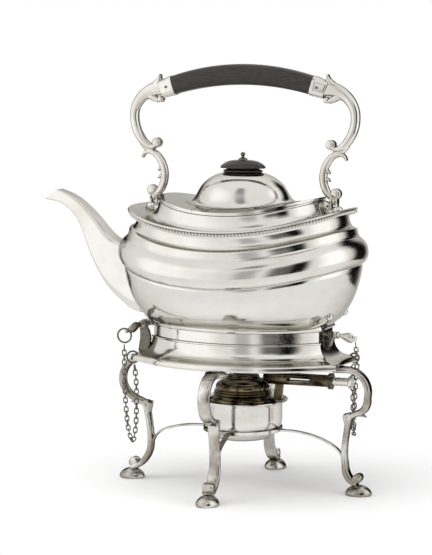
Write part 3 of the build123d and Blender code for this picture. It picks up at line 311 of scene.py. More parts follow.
def silver_plate(finish, name="Polished Silver Plate", slot="silver_plate", film_colour="tarnish",
                 film_range=(0.42, 0.72), film_most=0.5, gloss=(0.09, 0.17), edge="bdbbb6"):
    """Silver plate, raised by hand and polished: bright, with slow waves of 32 mm left by raising and a faint
    unevenness of 9 mm from planishing, a warmer, duller film in patches of 28 mm where it is seldom rubbed,
    fine wear of 3.5 mm that dulls it here and there, and a grey painted into its hollows and creases that
    stands both for tarnish left there and for painted shade. The edge colour is the film's, which greys what
    the plate reflects at a glancing angle."""
    tree, place = new_finish(name, slot)
    film, wear, waves, planish = (
        add_node(tree, "TexNoise", Vector=place, Scale=1 / (size * MM), Detail=detail, Roughness=roughness)
        for size, detail, roughness in ((28, 4, 0.6), (3.5, 3, 0.65), (32, 1, 0.4), (9, 1, 0.4)))
    hollow = add_node(tree, "NewGeometry").outputs["Pointiness"]
    spread = add_node(tree, "MapRange", Value=film, From_Min=film_range[0], From_Max=film_range[1], To_Min=0,
                      To_Max=film_most)
    colour = add_node(tree, "Mix", TINTS, Factor=spread, A=finish.silver, B=getattr(finish, film_colour))
    # painted shade: hollows and creases are darkened towards a grey, which also stands for tarnish there
    grime_and_painted_shade = add_node(tree, "MapRange", Value=hollow, From_Min=0.492, From_Max=0.435, To_Min=0, To_Max=0.85)
    shade = add_node(tree, "Mix", TINTS, Factor=grime_and_painted_shade, A=colour, B=finish.grime_and_painted_shade)
    rough = add_node(tree, "MapRange", Value=wear, From_Min=0.3, From_Max=0.75, To_Min=gloss[0],
                     To_Max=gloss[1])
    slow = add_node(tree, "Bump", Strength=0.35, Distance=1.0 * MM, Height=waves)
    bump = add_node(tree, "Bump", Strength=0.10, Distance=0.4 * MM, Height=planish, Normal=slow)
    shader = add_node(tree, "BsdfPrincipled", Metallic=1, Base_Color=shade, Roughness=rough, Normal=bump,
                      Specular_Tint=linear(edge))
    add_node(tree, "OutputMaterial", Surface=shader)


def cast_silver(finish):
    """The same plate on the castings of the handle, where old film darkens every edge that turns away."""
    silver_plate(finish, "Cast Silver Plate", "cast_plate", film_range=(0.40, 0.64), film_most=0.7,
                 edge="3d3932")


def unpolished_silver(finish):
    """The same plate on the legs, pins and lamp, seldom rubbed: a brown-grey film in patches, half dull."""
    silver_plate(finish, "Unpolished Silver Plate", "unpolished_plate", "old_tarnish", (0.40, 0.60), 0.8,
                 (0.10, 0.2), "37332d")


def ebonised_wood(finish):
    """Stained and waxed wood: almost black, with a grain of 1.2 mm drawn out along the grip that shows as
    brown streaks."""
    tree, place = new_finish("Ebonised Wood", "ebonised_wood")
    along = add_node(tree, "Mapping", Vector=place, Scale=(0.12, 1, 1))
    grain = add_node(tree, "TexNoise", Vector=along, Scale=1 / (1.2 * MM), Detail=5, Roughness=0.7)
    tone = add_node(tree, "MapRange", Value=grain, From_Min=0.35, From_Max=0.75)
    colour = add_node(tree, "Mix", TINTS, Factor=tone, A=finish.wood, B=finish.wood_worn)
    bump = add_node(tree, "Bump", Strength=0.4, Distance=0.2 * MM, Height=grain)
    shader = add_node(tree, "BsdfPrincipled", Base_Color=colour, Roughness=0.32, IOR=1.5, Normal=bump)
    add_node(tree, "OutputMaterial", Surface=shader)


def patinated_brass(finish):
    """Brass of the burner, browned by heat: dark, with brighter stains of 12 mm that are shinier."""
    tree, place = new_finish("Heat-Darkened Brass", "burner_metal")
    stain = add_node(tree, "TexNoise", Vector=place, Scale=1 / (12 * MM), Detail=2, Roughness=0.5)
    rubbed = add_node(tree, "MapRange", Value=stain, From_Min=0.34, From_Max=0.80)
    colour = add_node(tree, "Mix", TINTS, Factor=rubbed, A=finish.burner, B=finish.burner_bright)
    rough = add_node(tree, "MapRange", Value=stain, To_Min=0.20, To_Max=0.08)
    shader = add_node(tree, "BsdfPrincipled", Metallic=1, Base_Color=colour, Roughness=rough)
    add_node(tree, "OutputMaterial", Surface=shader)


def wire_metal(finish):
    """Plated wire of the chains: the plating has dulled between the links, in specks of 2 mm."""
    tree, place = new_finish("Dulled Plated Wire", "chain_metal")
    dull = add_node(tree, "TexNoise", Vector=place, Scale=1 / (2 * MM), Detail=2)
    colour = add_node(tree, "Mix", TINTS, Factor=dull, A=finish.wire, B=finish.wire_dark)
    shader = add_node(tree, "BsdfPrincipled", Metallic=1, Base_Color=colour, Roughness=0.3)
    add_node(tree, "OutputMaterial", Surface=shader)


def cotton_wick(finish):
    """Cotton plaited in bands of 6 mm, singed at its top: matt and grey-brown."""
    tree, place = new_finish("Cotton Wick", "wick")
    plait = add_node(tree, "TexWave", Vector=place, Scale=1 / (6 * MM), Distortion=2).outputs["Fac"]
    colour = add_node(tree, "Mix", TINTS, Factor=plait, A=finish.wick, B=finish.wick_singed)
    shader = add_node(tree, "BsdfPrincipled", Base_Color=colour, Roughness=0.9)
    add_node(tree, "OutputMaterial", Surface=shader)


# Kettle body: runs of (height, half length, rise), each of which starts where the last one ends

FLOOR_RUN = [(131.6, 24, 0), (131.6, 55, 0), (131.6, 70.5, 0)]
FOOT_RUN = [(131.6, 72.5, 0), (132.4, 73.9, 0.4), (134.6, 77.2, 1.5), (139, 82.5, 3.6), (145, 87.2, 6.3),
            (152, 90.7, 9.5), (158, 92.7, 12.3), (161.4, 93.5, 14), (162.8, 93.3, 14.7)]
BULGE_RUN = [(162.8, 93.3, 14.7), (163.5, 93.9, 14.9), (164.4, 95, 15), (166, 96.3, 15), (169, 97.6, 15),
             (173, 98, 15), (177.5, 97.2, 15), (181, 95.1, 15), (183.6, 92.4, 15), (184.8, 90.9, 15)]
STEP_RUN = [(184.8, 90.9, 15), (185.5, 90.6, 15), (186.6, 90.3, 15), (188.6, 89.8, 15), (190.2, 89.5, 15),
            (191, 89, 15), (191.5, 88, 15)]
NECK_RUN = [(191.5, 88, 15), (192, 86.6, 15), (193.4, 85.2, 15), (196.4, 83.8, 15), (200, 83.3, 15),
            (202.5, 83.9, 15)]
INNER_RUN = [(202.5, 82.3, 15), (198.4, 82, 15), (190, 87.6, 15), (181, 93.4, 15), (172, 96.5, 15),
             (163, 92.2, 14.7), (153, 89.8, 10.2), (144, 85.6, 6.1), (137, 79, 2.8), (133.6, 73, 0.3),
             (133, 60, 0), (133, 24, 0)]


def kettle_skin():
    """Raised sheet of the body, outside and inside, closed by both poles on the floor."""
    upper = [through(run, 6)[1:] for run in (BULGE_RUN, STEP_RUN, NECK_RUN)]
    rows = np.vstack([FLOOR_RUN, through(FOOT_RUN, 6), *upper, through(INNER_RUN, 6)])
    return patch(boat_rows(rows, BODY_SQUARENESS))


# Rim, dished shoulder and collar: height, half length, rise, squareness, and how much narrower each side
RIM_OUTSIDE = [(202.3, 84.2, 15, 2.4, 20), (202.5, 85.4, 15, 2.6, 20), (203.4, 86, 15, 2.7, 20),
               (204.5, 86.1, 15, 2.7, 20), (204.8, 87, 15, 2.7, 20), (205.2, 87.9, 15, 2.7, 20),
               (205.9, 88, 15, 2.7, 20), (206.4, 87.3, 15, 2.7, 20), (206.5, 86, 15, 2.7, 20),
               (206.1, 84.4, 14.7, 2.65, 20), (205.2, 82, 14.1, 2.6, 20), (204.7, 77.6, 13, 2.5, 18.4),
               (204.9, 72.6, 11.9, 2.45, 15.8), (206.4, 69.4, 11.2, 2.4, 14.7),
               (209.2, 67.2, 10.6, 2.4, 14.1), (213.4, 65.7, 10.1, 2.4, 13.9), (216.4, 65, 9.8, 2.4, 13.8),
               (216.9, 64.3, 9.7, 2.4, 13.8), (218, 64.2, 9.6, 2.4, 13.8)]
RIM_INSIDE = [(218, 63, 9.6, 2.4, 13.8), (212, 64.2, 10.1, 2.4, 14), (206.8, 67.4, 10.9, 2.4, 14.3),
              (203.4, 74, 12.4, 2.45, 16.6), (201.4, 81.4, 15, 2.4, 20)]
BEAD_LINE = (203.35, 86.4, 15)  # height, half length and rise


def rim_skin():
    """Closed profile of the rim, the dished shoulder and the collar, carried round the kettle."""
    rows = np.vstack([through(RIM_OUTSIDE, 4), through(RIM_INSIDE, 4)])
    return loop(boat_rows(rows[:, :3], rows[:, 3], surplus=rows[:, 4]))


def beads(line, spacing, radius):
    """Small round beads at equal lengths along a closed line, each a rough ball of a few dozen faces."""
    closed = np.vstack([line, line[:1]])
    count = int(np.linalg.norm(np.diff(closed, axis=0), axis=1).sum() / spacing)
    bead = unit_ball(5, 10) * radius
    return [patch(bead + centre) for centre in even(closed, count + 1)[:-1]]


def plate_half(side):
    """One of the two sheets beside the lid: rays from the lid's outline to the collar, top and underside."""
    length, width, power = PLATE_EDGE
    corner = math.atan2(width * (1 - (LID_LIP / length) ** power) ** (1 / power), LID_LIP)
    angle = np.linspace(-1, 1, 161) * corner
    direction = np.stack([np.cos(angle), np.sin(angle)], axis=1)
    outer = outline_radius(direction, *PLATE_EDGE)
    oval = outline_radius(direction, *LID_OVAL, 2)
    inner = np.minimum(np.maximum(oval, LID_LIP / direction[:, 0]), outer - 0.02)
    share = np.linspace(0, 1, 12)[:, None]
    radius = inner * (1 - share) + outer * share
    x, y = radius * direction[:, 0] * side, radius * direction[:, 1]
    top = np.stack([x, y, plate_height(x, y)], axis=-1)
    return patch(np.vstack([top, top[::-1] - (0, 0, SHEET)]).transpose(1, 0, 2))


# Lid

LID_OVAL = (42.5, 37.5)     # half length and half width round the dome
LID_LIP = 23.0              # half length of the straight lips
LID_GAP = 0.3
LID_BACK = 45.1             # where the lips end at the hinge
LID_SEAT = 0.25             # height of the dome's foot above the top sheets
DOME_SURPLUS = 7.0
DOME_LEAST_WIDTH = 0.55     # beside its length, near the top
DOME_LINING = 0.965         # size of its inside beside its outside
DOME_FOOT = 238.0           # below this the dome follows the sweep of the top sheet
DOME_RUN = [(248.1, 4), (247.9, 11), (246.8, 18), (244.2, 24.6), (240.2, 30.2), (235.4, 34.6),
            (230.8, 37.8), (227.4, 40.2), (225.2, 42), (223.8, 43.6), (223, 45.4)]
TIER_RUN = [(12, 247.3), (15.6, 247.7), (16, 248.3), (15.2, 249.3), (13.2, 250), (12.4, 250.6)]
DISC_RUN = [(18.3, 250.9), (18.4, 251.3), (17.6, 252.6), (15.4, 254.4), (12, 256), (8, 256.8), (4, 257)]
NUT_RUN = [(3.4, 256.6), (3.6, 257.2), (3.2, 258.2), (2, 258.8), (1.2, 259.3), (1.1, 259.9), (1.7, 260.6),
           (1.95, 261.4), (1.6, 262.4), (0.7, 263.1)]


def lid_skin():
    """Dome and straight lips in one sheet: ellipses down the dome, a small cove at its foot, then rays
    out to the lid's outline, and the same again inside."""
    t = circle(240)
    dome = through(DOME_RUN, 5)
    height, half = dome[:, :1], dome[:, 1:2]
    x, y = half * np.cos(t), np.maximum(half - DOME_SURPLUS, half * DOME_LEAST_WIDTH) * np.sin(t)
    foot_share = np.clip((DOME_FOOT - height) / (DOME_FOOT - height[-1]), 0, 1) ** 1.5
    seat = plate_height(x[-1:], y[-1:]) + LID_SEAT
    outside = np.stack([x, y, height * (1 - foot_share) + seat * foot_share], axis=-1)
    start = np.linalg.norm(outside[-1, :, :2], axis=1)
    direction = unit(outside[-1, :, :2])
    oval = outline_radius(direction, LID_OVAL[0] - LID_GAP, LID_OVAL[1] - LID_GAP, 2)
    lip_side = (LID_LIP - LID_GAP) / np.maximum(np.abs(direction[:, 0]), 1e-6)
    lip_end = outline_radius(direction, *PLATE_EDGE)
    back = np.where(direction[:, 1] > 0, LID_BACK / np.maximum(direction[:, 1], 1e-6), np.inf)
    edge = np.maximum(oval, np.minimum(np.minimum(lip_side, lip_end), back))
    share = np.array([[0.03], [0.3], [0.65], [0.97], [1.0]])
    radius = start * (1 - share) + edge * share
    x, y = radius * direction[:, 0], radius * direction[:, 1]
    flat = np.stack([x, y, plate_height(x, y)], axis=-1)
    drop = np.array([0, 0, SHEET])
    inner_dome = outside[::4] * (DOME_LINING, DOME_LINING, 1) - drop
    return patch(np.vstack([outside, flat, flat[::-1] - drop, inner_dome[::-1]]))


# Spout: lines from its lower to its upper edge (x and height of each) and its half width

SPOUT_LINES = [(-78, 134, -82, 186, 12.4), (-91, 137.6, -94, 188.6, 12),
               (-99.5, 143.6, -101.5, 190.4, 11.6), (-110, 152.6, -107.5, 192.8, 11),
               (-118.6, 164, -112.6, 196.6, 10.3), (-124.8, 175, -117.4, 201.6, 9.7),
               (-130, 186.5, -122, 207, 9.1), (-134.6, 198.6, -127.2, 212.4, 8.5),
               (-139.6, 208, -133.4, 218.2, 8), (-146.6, 215.6, -140.6, 223.8, 7.5),
               (-155.6, 220.8, -148.2, 227.8, 7.2), (-168, 223, -157, 231, 6.8)]
SPOUT_WALL = 1.1
SPOUT_SQUARENESS = 7.0


def spout_rows(inset, columns=88):
    """Sections of the spout, each a squarish superellipse between its lower and its upper edge."""
    line = through(SPOUT_LINES, 5)
    low, high, half = line[:, 0:2], line[:, 2:4], line[:, 4:5]
    arm = (high - low) / 2
    tall = np.linalg.norm(arm, axis=1)[:, None]
    x, y = superellipse(SPOUT_SQUARENESS, columns)
    flat = ((low + high) / 2)[:, None] + y[..., None] * (arm * (tall - inset) / tall)[:, None]
    return np.stack([flat[..., 0], x * (half - inset), flat[..., 1]], axis=-1)


def spout_skin():
    """The spout's wall: its sections outside, and back again inside."""
    return patch(np.vstack([spout_rows(0), spout_rows(SPOUT_WALL)[::-1]]), poles=(False, False))


# Handle: an arc about the Y axis for the grip, and C scrolls in the XZ plane below it

GRIP_RADIUS, GRIP_APEX = 199.7, 322.9
GRIP_ANGLE, FERRULE_ANGLE = 16.6, 3.3           # degrees: half of the wood, and one ferrule
GRIP_DEPTH, GRIP_TALL = 12.6, (16.2, 14.6)      # front to back; height at the middle and at the ends
GRIP_SQUARENESS = 3.2
FERRULE_SHARES = (0, 0, 0.12, 0.3, 0.36, 0.9, 0.97, 1)              # along its length
FERRULE_SPARE = (-0.3, 0.45, 0.5, 0.45, 0.15, -0.2, -0.5, -0.9)     # how far it stands out from the wood
PIVOT_X, PIVOT_HEIGHT = 74.6, 226.8
EYE = [(1.26, -1.1), (2.8, -1.1), (3.2, -0.7)]                      # ring on the pivot: radius and distance


def grip_path(angle):
    """Points of the grip's arc at angles in degrees from its top."""
    turn = np.radians(angle)
    drop = GRIP_RADIUS * (1 - np.cos(turn))
    return np.stack([GRIP_RADIUS * np.sin(turn), 0 * turn, GRIP_APEX - drop], axis=1)


def grip_tall(angle):
    """Height of the grip's section: it changes with the square of the angle from the top."""
    return GRIP_TALL[0] + (GRIP_TALL[1] - GRIP_TALL[0]) * (np.asarray(angle, float) / GRIP_ANGLE) ** 2


def grip_skin():
    """Bent rail with rounded corners, a touch deeper in the middle."""
    angle = np.linspace(-GRIP_ANGLE, GRIP_ANGLE, 60)
    return patch(carried(grip_path(angle), GRIP_DEPTH / 2, grip_tall(angle) / 2, GRIP_SQUARENESS, 40))


def ferrule_skin(side):
    """Socket with a raised lip where the wood enters and a closed outer end: the grip's own section, with
    some spare all round, at angles beyond the wood."""
    angle, spare = np.array(FERRULE_SHARES) * FERRULE_ANGLE + GRIP_ANGLE, np.array(FERRULE_SPARE)
    turn = np.radians(side * angle)
    up = np.stack([np.sin(turn), 0 * turn, np.cos(turn)], axis=1)
    x, y = superellipse(GRIP_SQUARENESS, 40)
    wide, tall = x * (GRIP_DEPTH / 2 + spare)[:, None], y * (grip_tall(GRIP_ANGLE) / 2 + spare)[:, None]
    middle = grip_path(side * angle)[:, None]
    return patch(middle + wide[..., None] * (0, 1, 0) + tall[..., None] * up[:, None])


UPPER_SCROLL = [(66, 312.6), (70, 312.2), (76, 310.8), (84.5, 305.6), (90, 297.6), (91.3, 289.6),
                (89.7, 280.6), (85.2, 272.2), (80.4, 267.6), (75.6, 266.2), (72.2, 268.2)]
UPPER_THICK = [6.2, 5.9, 5.3, 4.4, 3.7, 3.5, 3.5, 3.3, 2.8, 2.2, 1.8]
LOWER_SCROLL = [(84.4, 257.8), (82.6, 261), (78.6, 262.6), (73, 260.6), (68.2, 254.4), (65.8, 246.6),
                (66.4, 239), (69.4, 232.6), (73.6, 229.2), (77.6, 229)]
LOWER_THICK = [0.8, 1.4, 2.1, 2.6, 2.9, 3, 3, 2.9, 2.6, 2.2]
# Leaves and spurs of a scroll: points, half thicknesses, half width and steps between points, and its
# rolled ends: x, height, radius and depth
SCROLL_LEAVES = [
    ([(75, 311.6), (71.8, 315.8), (69.8, 319), (69, 323)], [3.4, 3.2, 2.1, 0.6], 3.3, 7),
    ([(79, 306.6), (74.6, 304.6), (70.8, 303), (68.2, 304)], [2.8, 2.6, 2.1, 1.6], 3.2, 7),
    ([(87.6, 275), (83.6, 268), (78.8, 264.2), (75, 262.4)], [1.2, 2.4, 2.6, 2.2], 2.8, 7),
    ([(67.4, 250), (69.6, 249.2), (71, 247.4)], [1.6, 1.4, 0.5], 2.2, 4),
    ([(66.8, 243.6), (69.4, 243.2), (71.2, 241.6)], [1.6, 1.4, 0.5], 2.2, 4),
    ([(74.9, 232.6), (74.7, 229.6), (74.6, 226.8)], [1.6, 1.3, 1.3], 2.9, 4)]
SCROLL_DISCS = [(72, 269.6, 3.7, 7.4), (76.2, 232.3, 4.1, 6.6), (68.4, 303.6, 2.4, 6.6)]
DISC_FACE = ((0.3, -0.5), (0.75, -0.1), (0.96, 0.7))    # share of the radius, and depth below the flat


def tapering(points, half_thick, half_wide, steps=7):
    """Cast scroll along a line in the XZ plane, whose thickness changes along it."""
    line = through(np.column_stack([points, half_thick]), steps)
    return patch(carried(xz(line[:, :2]), half_wide, line[:, 2], 2.5, 22))


def disc_across(x, z, radius, depth):
    """Rolled end of a scroll: a short round bar across it with domed faces."""
    half = [(radius * share, inside - depth / 2) for share, inside in DISC_FACE]
    return patch(lying(spun(through(both_ways(half, [(radius, 0)]), 3), 24), (x, 0, z), "y"))


def scroll_patches():
    """Upper and lower C scroll at the +X end, with their rolled ends, leaves and the eye on the pivot."""
    patches = [tapering(UPPER_SCROLL, UPPER_THICK, 3.9), tapering(LOWER_SCROLL, LOWER_THICK, 3.0)]
    patches += [disc_across(*disc) for disc in SCROLL_DISCS] + [tapering(*leaf) for leaf in SCROLL_LEAVES]
    return patches + [loop(lying(spun(both_ways(EYE), 32), (PIVOT_X, 0, PIVOT_HEIGHT)))]


# Stand

FRAME_TOP, FRAME_BOTTOM = 119.3, 99.6
FRAME_TOP_LENGTH, FRAME_FLARE = 69.4, 12.6
FRAME_EDGE = FRAME_TOP_LENGTH + FRAME_FLARE
FRAME_CORNER, CORNER_SPREAD = 17.3, 0.73
FRAME_HORN = 3.4            # how far the corners of the skirt stand out beyond the middle of its ends
HORN_START = 0.82           # share of the half length from which they do so
# Profile of the skirt as heights and half lengths, beside those of its bottom edge and of its top edge
OUTER_BAND = [(0, -1), (0.3, -0.2), (1.2, 0), (3.4, -0.3), (4.4, -0.9), (4.8, -1.7)]
LEDGE = [(-1.4, 0.1), (-0.9, 0.7), (-0.3, 0.5), (0, -0.2), (0, -6.6), (-1.7, -6.6), (-1.7, -1.7), (-6, -0.6)]
INNER_BAND = [(6.6, -8), (3.4, -2.8), (0, -2.4)]
BAND_HALF = 66.8            # inner half length of the band under the kettle
FOOT_BAND = [(119.6, 67.6), (120, 68.2), (127.2, 68), (127.6, 68.4), (127.9, 69.4), (128.8, 70.2),
             (129.8, 70.4), (130.8, 70), (131.5, 69.4), (131.5, BAND_HALF), (119.6, BAND_HALF)]


def bowed_rows(rows, corners, columns=(56, 10)):
    """Plan of two bowed long sides and two straight short ends for each row of height and half length:
    a long side is the arc of a circle through both corners and the middle of the side."""
    height, half = np.asarray(rows, float).T[..., None]
    corner = np.reshape(corners, (-1, 1))
    bow = half - LENGTH_SURPLUS
    sag = bow - corner
    radius = (half**2 + sag**2) / (2 * sag)
    angle = np.arcsin(half / radius) * np.linspace(-1, 1, columns[0])
    across = corner * np.linspace(-1, 1, columns[1])[1:-1]
    x = np.hstack([radius * np.sin(angle), half + 0 * across])
    y = np.hstack([radius - bow - radius * np.cos(angle), across])
    x, y = np.hstack([x, -x]), np.hstack([y, -y])
    return np.stack([x, y, height + 0 * x], axis=-1)


def frame_skin():
    """Skirt of the stand: rolled lower band, hollow moulding of a quarter circle, bead and ledge, and the
    same inside. Its corners stand out more, the lower they are."""
    cove_low, cove_high = FRAME_BOTTOM + 5, FRAME_TOP - 1.6
    share = np.linspace(0, 1, 12)
    spread = (FRAME_FLARE - 1.9) * (1 - np.sqrt(1 - (1 - share) ** 2))
    cove = np.column_stack([cove_low + (cove_high - cove_low) * share, FRAME_TOP_LENGTH + 0.2 + spread])
    low_corner, top_corner = (FRAME_BOTTOM, FRAME_EDGE), (FRAME_TOP, FRAME_TOP_LENGTH)
    rows = np.vstack([np.add(OUTER_BAND, low_corner), cove, np.add(LEDGE, top_corner),
                      np.add(INNER_BAND, low_corner)])
    half = rows[:, 1:]
    corners = FRAME_CORNER + CORNER_SPREAD * (half - FRAME_TOP_LENGTH)
    grid = bowed_rows(rows, corners)
    lowness = np.clip((half - FRAME_TOP_LENGTH) / FRAME_FLARE, 0, 1)
    endness = np.clip((np.abs(grid[..., 0]) / half - HORN_START) / (1 - HORN_START), 0, 1) ** 2
    endness = endness * np.clip(np.abs(grid[..., 1]) / corners, 0, 1) ** 2
    grid[..., 0] += np.sign(grid[..., 0]) * FRAME_HORN * lowness * endness
    return loop(grid)


def foot_skin():
    """Band under the kettle: plain, with a quarter-round moulding where it meets the body."""
    return loop(bowed_rows(FOOT_BAND, [16.8 if half > BAND_HALF else 16.2 for _, half in FOOT_BAND]))


# Legs, in their own upright plane: distances from the skirt's edge and heights

LEG_WIDTH, LEG_THICKNESS = 9.6, 4.7
LEG_SQUARENESS = 3.2
SCROLL_RADIUS, SCROLL_OFFSET = 17.0, 3.8
HEAD_SPREAD, HEAD_RUN = 4.6, 8.5        # how much wider the leg's head is, and how far that reaches
SHANK = [(4.8, 62.4), (1.8, 59.8), (0.6, 55), (-0.6, 48), (-1.8, 39), (-2.2, 30), (-1.4, 23.6), (0.8, 18),
         (4.6, 13), (8.8, 10.2), (12.6, 8.8)]
KNEE = [(-1.2, 62.8), (-1.2, 61.2), (-0.8, 58), (-0.2, 53)]
TUCK = [(4.6, 61.8), (1.6, 62.4), (-0.4, 61.8)]
SPUR = [(9.4, 63.4), (12.4, 62.4), (15.2, 61.2)]
TOE = (11.4, 13, 4)                     # place, height and radius
LEANS = {"right": 4.2, "left": -1.2}    # how far a bent leg's shank stands out beyond the others
PAD_RUN = [(9.6, 0), (10.2, 0.7), (10.3, 1.8), (9.7, 3.4), (8.2, 5.2), (6.2, 6.6), (4.2, 7.4), (2.6, 7.8)]
PAD_PLACE = 13.4


def leg_patches(edge, turn, lean=0.0):
    """C scroll whose lower end flows into the S-shaped shank, a raised corner at the knee, a leaf spur on the
    scroll and a rolled toe. A bent leg leans out between toe and scroll."""
    top = FRAME_BOTTOM - LEG_THICKNESS / 2
    swing = np.radians(np.linspace(90, -74, 44))
    bow = SCROLL_RADIUS * np.stack([np.cos(swing), np.sin(swing) - 1], axis=1) + (SCROLL_OFFSET, top)
    head = np.stack([np.linspace(-6.4, SCROLL_OFFSET, 8)[:-1], np.full(7, top)], axis=1)
    strap = np.vstack([head, bow, through([bow[-1], *SHANK], 7)[1:]])
    run = np.concatenate([[0], np.cumsum(np.linalg.norm(np.diff(strap, axis=0), axis=1))])
    waist = np.sin(np.clip((run - run[len(head) + len(bow)]) / 50, 0, 1) * math.pi)
    width = LEG_WIDTH / 2 * (1 - 0.12 * waist) + HEAD_SPREAD * np.exp(-(run / HEAD_RUN) ** 2)
    thick = LEG_THICKNESS / 2 * np.clip(run / 3 + 0.45, 0, 1) * (1 - 0.1 * waist)
    knee, tuck, spur = (through(line, 5) for line in (KNEE, TUCK, SPUR))
    knee_thick = np.interp(np.arange(len(knee)), (0, 5, 15), (1.5, 2.1, 1.2))
    shapes = [carried(xz(strap), width, thick, LEG_SQUARENESS, 28),
              carried(xz(knee), LEG_WIDTH / 2 - 0.3, knee_thick, 3.4),
              carried(xz(tuck), LEG_WIDTH / 2 - 0.4, 1.6, 3.4),
              carried(xz(spur), np.linspace(3.6, 1.2, len(spur)), np.linspace(1.8, 0.3, len(spur)), 2.6, 20),
              disc_across(*TOE, LEG_WIDTH - 1.4)[0]]
    # the lean sets in over 15 mm above the pad and has gone over 12 mm below the middle of the scroll
    shares = [np.clip((p[..., 2:] - 9) / 15, 0, 1) * np.clip((76 - p[..., 2:]) / 12, 0, 1) for p in shapes]
    return [patch(turned(p + (edge + lean * share) * (1, 0, 0), turn)) for p, share in zip(shapes, shares)]


def pad_patch(edge, turn):
    """Domed oval pad under a toe: a turning, flattened across the leg."""
    return patch(turned(spun(through(PAD_RUN, 4), 48) * (1, 0.85, 1) + (edge + PAD_PLACE, 0, 0), turn))


def stretcher_patch(edge, turn, lean=0.0):
    """Thin bar that springs up from the leg and runs level to the lamp ring."""
    line = through([(edge - 3.4 + lean, 29), (edge - 6.6 + lean * 0.6, 35), (edge - 13.4, 40.4),
                    (max(edge - 24.6, 40), 44.2), (max(edge - 36, 36), 46.2), (30.6, 46.9)], 8)
    return patch(turned(carried(xz(line), 2.1, 0.85, 3.5, 20), turn))


# Lamp: turnings, as radius and height

LAMP_RING = [(28.4, 45.6), (28.6, 45.4), (30.9, 45.4), (31.1, 45.6), (31.1, 48.2), (30.9, 48.4), (28.6, 48.4),
             (28.4, 48.2)]
FLANGE = [(20.8, 69), (34.6, 69), (35.3, 69.2), (35.6, 69.7), (35.4, 70.2), (34.8, 70.4), (33.6, 70.35),
          (33.2, 70.1), (20.8, 70.1)]


def cup_patch():
    """Spirit cup: dished bottom, shoulder on the ring, straight side and rolled lip, then its inside."""
    return patch(spun(runs(
        ([(4, 38.6), (16.6, 38.7), (20.6, 39.6), (24.4, 41.6), (27, 45), (27.9, 48.65)], 5),
        [(28.6, 48.65), (29.8, 48.7)],
        ([(29.8, 48.7), (30.4, 50.4), (30.9, 53.6), (31, 60), (31, 67.4)], 5),
        [(31.3, 67.9), (31.4, 68.5), (31.2, 69), (29.7, 69), (29.7, 54.4), (26.6, 50), (26.6, 45),
         (23.2, 42.3), (16.6, 39.9), (4, 39.9)]), 128))


def dome_patch():
    """Burner's cover as one turning: flare, two beads, a low dome with a smaller one on it, and the mouth."""
    return loop(spun(runs(
        ([(26.6, 70.1), (26.3, 70.9), (25, 72.3), (23.3, 73.4), (22.2, 74.2)], 5),
        ([(22.2, 74.2), (23, 74.5), (23.2, 75.1), (22.8, 75.7), (21.9, 76)], 4),
        ([(21.9, 76), (22.6, 76.3), (22.8, 76.9), (22.4, 77.5), (21.3, 77.8)], 4),
        ([(21.3, 77.8), (21.6, 79.4), (21.2, 81.2), (19.8, 83.3), (17.4, 85), (14.6, 86.2), (13, 86.8)], 5),
        ([(13, 86.8), (13.3, 87.5), (12.6, 88.7), (10.8, 89.7), (9.4, 90)], 4),
        [(8.4, 89.8), (7.5, 90.4), (7.5, 88.6), (12.2, 85.6), (17, 83.6), (20, 80.6), (20.1, 77.6),
         (22.9, 72.4), (25.4, 70.1)]), 112))


# Posts, pins, rings and chains

HINGE_X, HINGE_HEIGHT = -76.5, 127.9
LOCK_HEIGHT = 123.6
POST_OUTLINE = [(-79.7, 127.9), (-79.2, 129.6), (-78.1, 130.8), (-76.5, 131.2), (-74.9, 130.8),
                (-73.8, 129.6), (-73.2, 127.9), (-72.6, 125), (-71.2, 122.4), (-70.4, 119.4), (-69.9, 116),
                (-70.9, 111), (-73.1, 107.8), (-75.6, 105.8), (-79.6, 104.5), (-80.4, 106.6), (-79.8, 111),
                (-79, 116), (-78.8, 120), (-79.2, 124.4)]
LUG_OUTLINE = [(70.9, 119.6), (70.9, 125.2), (71.4, 126.2), (72.4, 126.6), (73.4, 126.2), (73.9, 125),
               (74, 122.6), (73.4, 118.6), (72.2, 115), (70.9, 112.4), (69.9, 110.6), (69.8, 113.6),
               (69.6, 117), (69.7, 118.8)]
WEB_OUTLINE = [(-75, 126.6), (-69.6, 126.2), (-69.6, 129.8), (-75, 129.2)]
KNUCKLE = [(2.3, -17.3), (3, -17.1), (3.3, -16.4), (3.3, -14.6), (2.7, -14), (2.5, -13.2), (3, -12.4),
           (2.6, -11.6)]
# Each pin: its shaft and its ribbed collar as radius and distance, and its leaf as half height, distance,
# half thickness and droop
TILTING_PIN = (
    [(1.4, -20.9), (1.55, -20.4), (1.55, 21)],
    [(1.5, 20.9), (2.7, 21), (3.1, 21.7), (2.6, 22.3), (2.2, 22.7), (2.9, 23.3), (2.9, 24), (2.1, 24.5),
     (2.4, 25.2), (1.7, 25.9), (1.4, 26.6)],
    [(1.5, 26.2, 1.3, 0), (2, 29, 1.3, 0.1), (3.3, 33, 1.5, 0.3), (3.9, 37, 1.5, 0.7), (3.5, 41, 1.4, 1.1),
     (2.4, 45, 1.3, 1.5), (1.5, 49, 1.2, 1.9), (1.3, 52, 1.1, 2.2), (0.5, 54, 0.6, 2.4)])
LOCKING_PIN = (
    [(1.1, 62), (1.3, 62.6), (1.3, 75.6)],
    [(1.3, 75.5), (2.6, 75.6), (3, 76.2), (2.5, 76.8), (2.1, 77.1), (2.8, 77.7), (2.8, 78.3), (2, 78.8),
     (1.6, 79.4)],
    [(1.5, 79.2, 1.3, 0), (1.8, 80.8, 1.4, 0.3), (2.7, 83, 1.6, 0.8), (3.7, 85.8, 1.7, 1.3),
     (3.9, 87.8, 1.6, 1.6), (3.3, 89.6, 1.4, 1.8), (1.6, 90.9, 1, 1.9), (0.6, 91.3, 0.7, 2)])
